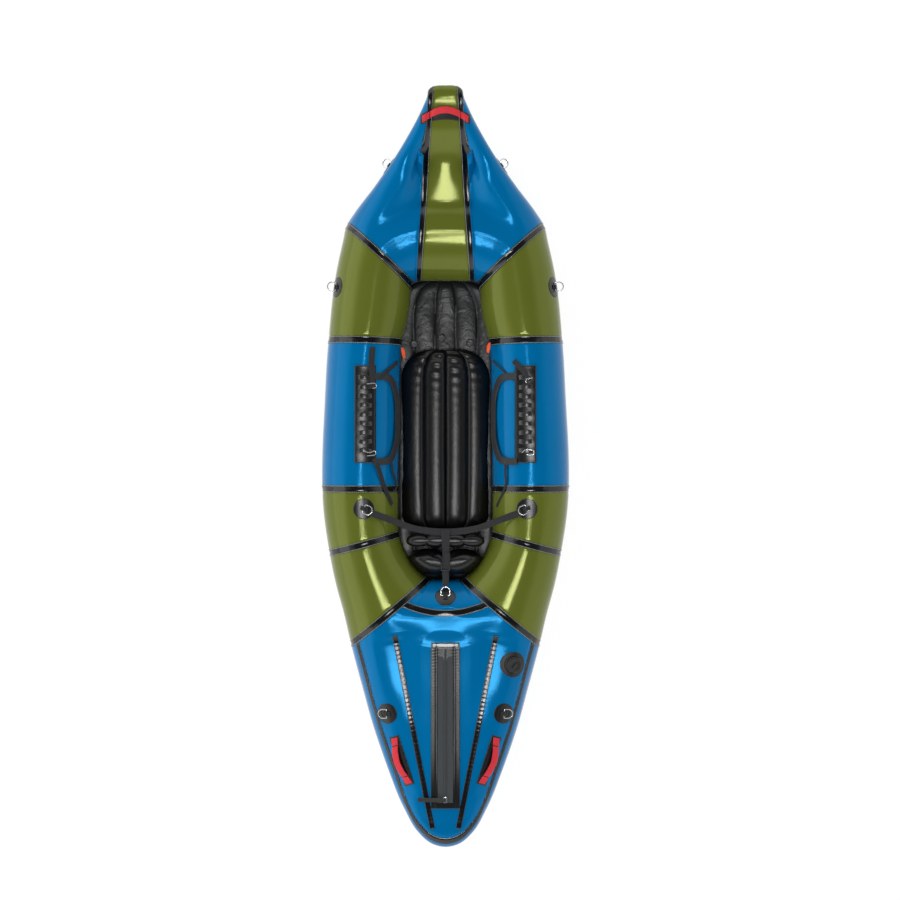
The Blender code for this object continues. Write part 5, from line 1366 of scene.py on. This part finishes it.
def swell(piece, kit):
    # cloth with air pressure; each vertex moves no further than the cap
    start = np.array([tuple(vert.co) for vert in piece.data.vertices])
    cloth = piece.modifiers.new("cloth", "CLOTH")
    settings = cloth.settings
    settings.quality = 6
    settings.mass = 0.2
    settings.tension_stiffness = 20
    settings.compression_stiffness = 12
    settings.bending_stiffness = 0.15
    settings.use_pressure = True
    settings.uniform_pressure_force = kit["pressure"]
    settings.shrink_min = kit["grow"]
    settings.effector_weights.gravity = 0
    cloth.collision_settings.use_collision = False
    cloth.point_cache.frame_start = 1
    cloth.point_cache.frame_end = 20
    for frameNumber in range(1, 21):
        scene.frame_set(frameNumber)
    evaluated = piece.evaluated_get(bpy.context.evaluated_depsgraph_get())
    shift = np.array([tuple(vert.co) for vert in evaluated.to_mesh().vertices]) - start
    evaluated.to_mesh_clear()
    piece.modifiers.remove(cloth)
    scene.frame_set(1)
    reach = np.linalg.norm(shift, axis=1, keepdims=True)
    return start + shift * np.minimum(1, kit["cap"] / np.maximum(reach, 1e-9))


def makeCushion(name, kit):
    piece = showPiece(name, solidMesh(cushionPoints(kit)), kit["material"], slot=otherSlot, smoothDegrees=70)
    if kit["pressure"]:
        moved = swell(piece, kit)
        # drawn in evenly to the space of the CAD's solid
        low, high = (np.array(corner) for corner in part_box(kit["node"]))
        least, most = moved.min(axis=0), moved.max(axis=0)
        wanted = np.maximum(least, low), np.minimum(most, high)
        moved = wanted[0] + (moved - least) * (wanted[1] - wanted[0]) / (most - least)
        for vert, place in zip(piece.data.vertices, moved):
            vert.co = place
        piece.data.update()
    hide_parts(kit["node"])
    print("cushion", name, len(piece.data.polygons))


for name, kit in cushions.items():
    makeCushion(name, cushionBase | kit)

# Floor: a taut sheet welded round the underside
floorKit = {"rows": 150, "columns": 48, "thickness": 0.0013, "level": 0.0014, "margin": 0.030}


def makeFloor():
    kit = floorKit
    outerX, outerY, innerX, innerY, crest = np.moveaxis(sectionAt(np.linspace(0, 26, 400)), -1, 0)[:5]
    share = (crest + kit["margin"]) / np.hypot(outerX - innerX, outerY - innerY)
    rimX = np.abs(innerX + (outerX - innerX) * share)
    rimY = innerY + (outerY - innerY) * share
    order = np.argsort(rimY)
    stations = rimY.min() + np.ptp(rimY) * (0.5 - 0.5 * np.cos(np.linspace(0, math.pi, kit["rows"])))
    points = np.full((kit["rows"], kit["columns"], 3), kit["level"])
    points[..., 0] = np.interp(stations, rimY[order], rimX[order])[:, None] * np.linspace(-1, 1, kit["columns"])
    points[..., 1] = stations[:, None]
    showPiece("floorSheet", sheetMesh(points), "floorNylon", node="floor_sheet", thickness=kit["thickness"])


makeFloor()

# Small parts in the cockpit: three mat bosses, and an orange pull tab on each side
bossKit = {
    "profile": [(0, 0.0035), (0.0085, 0.0035), (0.0095, 0.0050), (0.0130, 0.0052), (0.0148, 0.0040),
                (0.0155, 0.0008), (0.0155, -0.0030), (0, -0.0030)],
    "places": {"A": (-0.118, 0.475), "B": (-0.015, 0.498), "C": (0.0925, 0.479)}, "height": 0.0415,
}
tabKit = {
    "places": {"pullTabLeft": (-0.1600, 0.4330, -1), "pullTabRight": (0.1640, 0.4520, 1)},
    "line": [(0, 0.018, 0.236), (0.004, 0.006, 0.242), (0.006, -0.008, 0.240), (0.008, -0.019, 0.232)],
    "widths": (0.008, 0.014, 0.013, 0.010), "thickness": 0.0022,
}
for letter, (x, y) in bossKit["places"].items():
    showPiece("matBoss" + letter, turnedMesh(bossKit["profile"], 48, (x, y, bossKit["height"]), (0, 0, 1)),
              "greyMatFilm", slot="black_plastic")
for name, (x, y, side) in tabKit["places"].items():
    makeStrap(name, [(x - side * inward, y + fore, z) for inward, fore, z in tabKit["line"]], (-0.5 * side, 0, 1),
              tabKit["widths"], tabKit["thickness"], "orangeNylonWebbing")
print("cockpit parts made")

# Camera: straight down, as in the photograph
view = {"place": (0.0170, 0.0735, 9.0), "sensor": 36.0, "lens": 94.9}
camera = bpy.data.cameras.new("camera")
camera.sensor_width = view["sensor"]
camera.lens = view["lens"]
camera.clip_end = 100
scene.camera = placeObject("camera", camera)
scene.camera.location = view["place"]

# Floor of painted board: plain diffuse white, partly lit from within for the camera so that it stays white
stage = {"size": 40, "level": -0.0006, "white": 0.92, "emission": 1.06, "glow": 0.86}


def makeStage():
    mesh = bmesh.new()
    bmesh.ops.create_grid(mesh, x_segments=1, y_segments=1, size=stage["size"] / 2)
    data = bpy.data.meshes.new("paleFloor")
    mesh.to_mesh(data)
    mesh.free()
    floor = placeObject("paleFloor", data)
    floor.location.z = stage["level"]
    tree, shader = startMaterial("whitePaintedFloor", {
        "Roughness": 0.9, "Base Color": (stage["white"],) * 3 + (1,), "Specular IOR Level": 0.0})
    glow = addNode(tree, "Emission", {"Color": (1, 1, 1, 1), "Strength": stage["emission"]})
    path = addNode(tree, "LightPath").outputs
    seen = addNode(tree, "Math", {0: path["Is Camera Ray"], 1: path["Is Glossy Ray"]}, operation="MAXIMUM")
    share = addNode(tree, "Math", {0: seen.outputs["Value"], 1: stage["glow"]}, operation="MULTIPLY")
    blend = addNode(tree, "MixShader", {0: share.outputs["Value"], 1: shader.outputs["BSDF"],
                                        2: glow.outputs["Emission"]})
    tree.links.new(blend.outputs["Shader"], tree.nodes["Material Output"].inputs["Surface"])
    data.materials.append(materials["whitePaintedFloor"])


makeStage()

# A main soft box over the quarters, and a small one near the camera
lamps = {
    "mainBox": {"place": (0.08, -1.00, 9.0), "size": (2.4, 0.95), "radiance": 23},
    "overheadBox": {"place": (0.20, 0.22, 9.0), "size": (0.65, 0.60), "radiance": 34},
}
for name, lamp in lamps.items():
    light = bpy.data.lights.new(name, "AREA")
    light.shape = "RECTANGLE"
    light.size, light.size_y = lamp["size"]
    light.energy = lamp["radiance"] * math.pi * light.size * light.size_y
    placeObject(name, light).location = lamp["place"]

# Sky: dark overhead and bright at the horizon, and white to the camera
sky = {"zenith": 0.05, "horizon": 1.38, "left": 1.36, "right": 0.74, "dark": 0.86, "bright": 0.50, "sideways": 0.8}


def makeSky():
    world = bpy.data.worlds.new("studio")
    world.use_nodes = True
    scene.world = world
    tree = world.node_tree
    parts = addNode(tree, "SeparateXYZ", {"Vector": addNode(tree, "TexCoord").outputs["Generated"]}).outputs
    height = addNode(tree, "MapRange", {"Value": parts["Z"], "From Min": sky["bright"], "From Max": sky["dark"],
                                        "To Min": sky["horizon"], "To Max": sky["zenith"]},
                     interpolation_type="SMOOTHSTEP")
    sideways = addNode(tree, "MapRange", {"Value": parts["X"], "From Min": -sky["sideways"],
                                          "From Max": sky["sideways"], "To Min": sky["left"], "To Max": sky["right"]})
    level = addNode(tree, "Math", {0: height.outputs["Result"], 1: sideways.outputs["Result"]},
                    operation="MULTIPLY")
    seen = addNode(tree, "LightPath").outputs["Is Camera Ray"]
    shown = addNode(tree, "Mix", {"Factor": seen, "A": level.outputs["Value"], "B": 1.0}, data_type="FLOAT")
    background = tree.nodes["Background"]
    tree.links.new(shown.outputs["Result"], background.inputs["Strength"])
    background.inputs["Color"].default_value = (1, 1, 1, 1)


makeSky()
scene.view_settings.view_transform = "Standard"
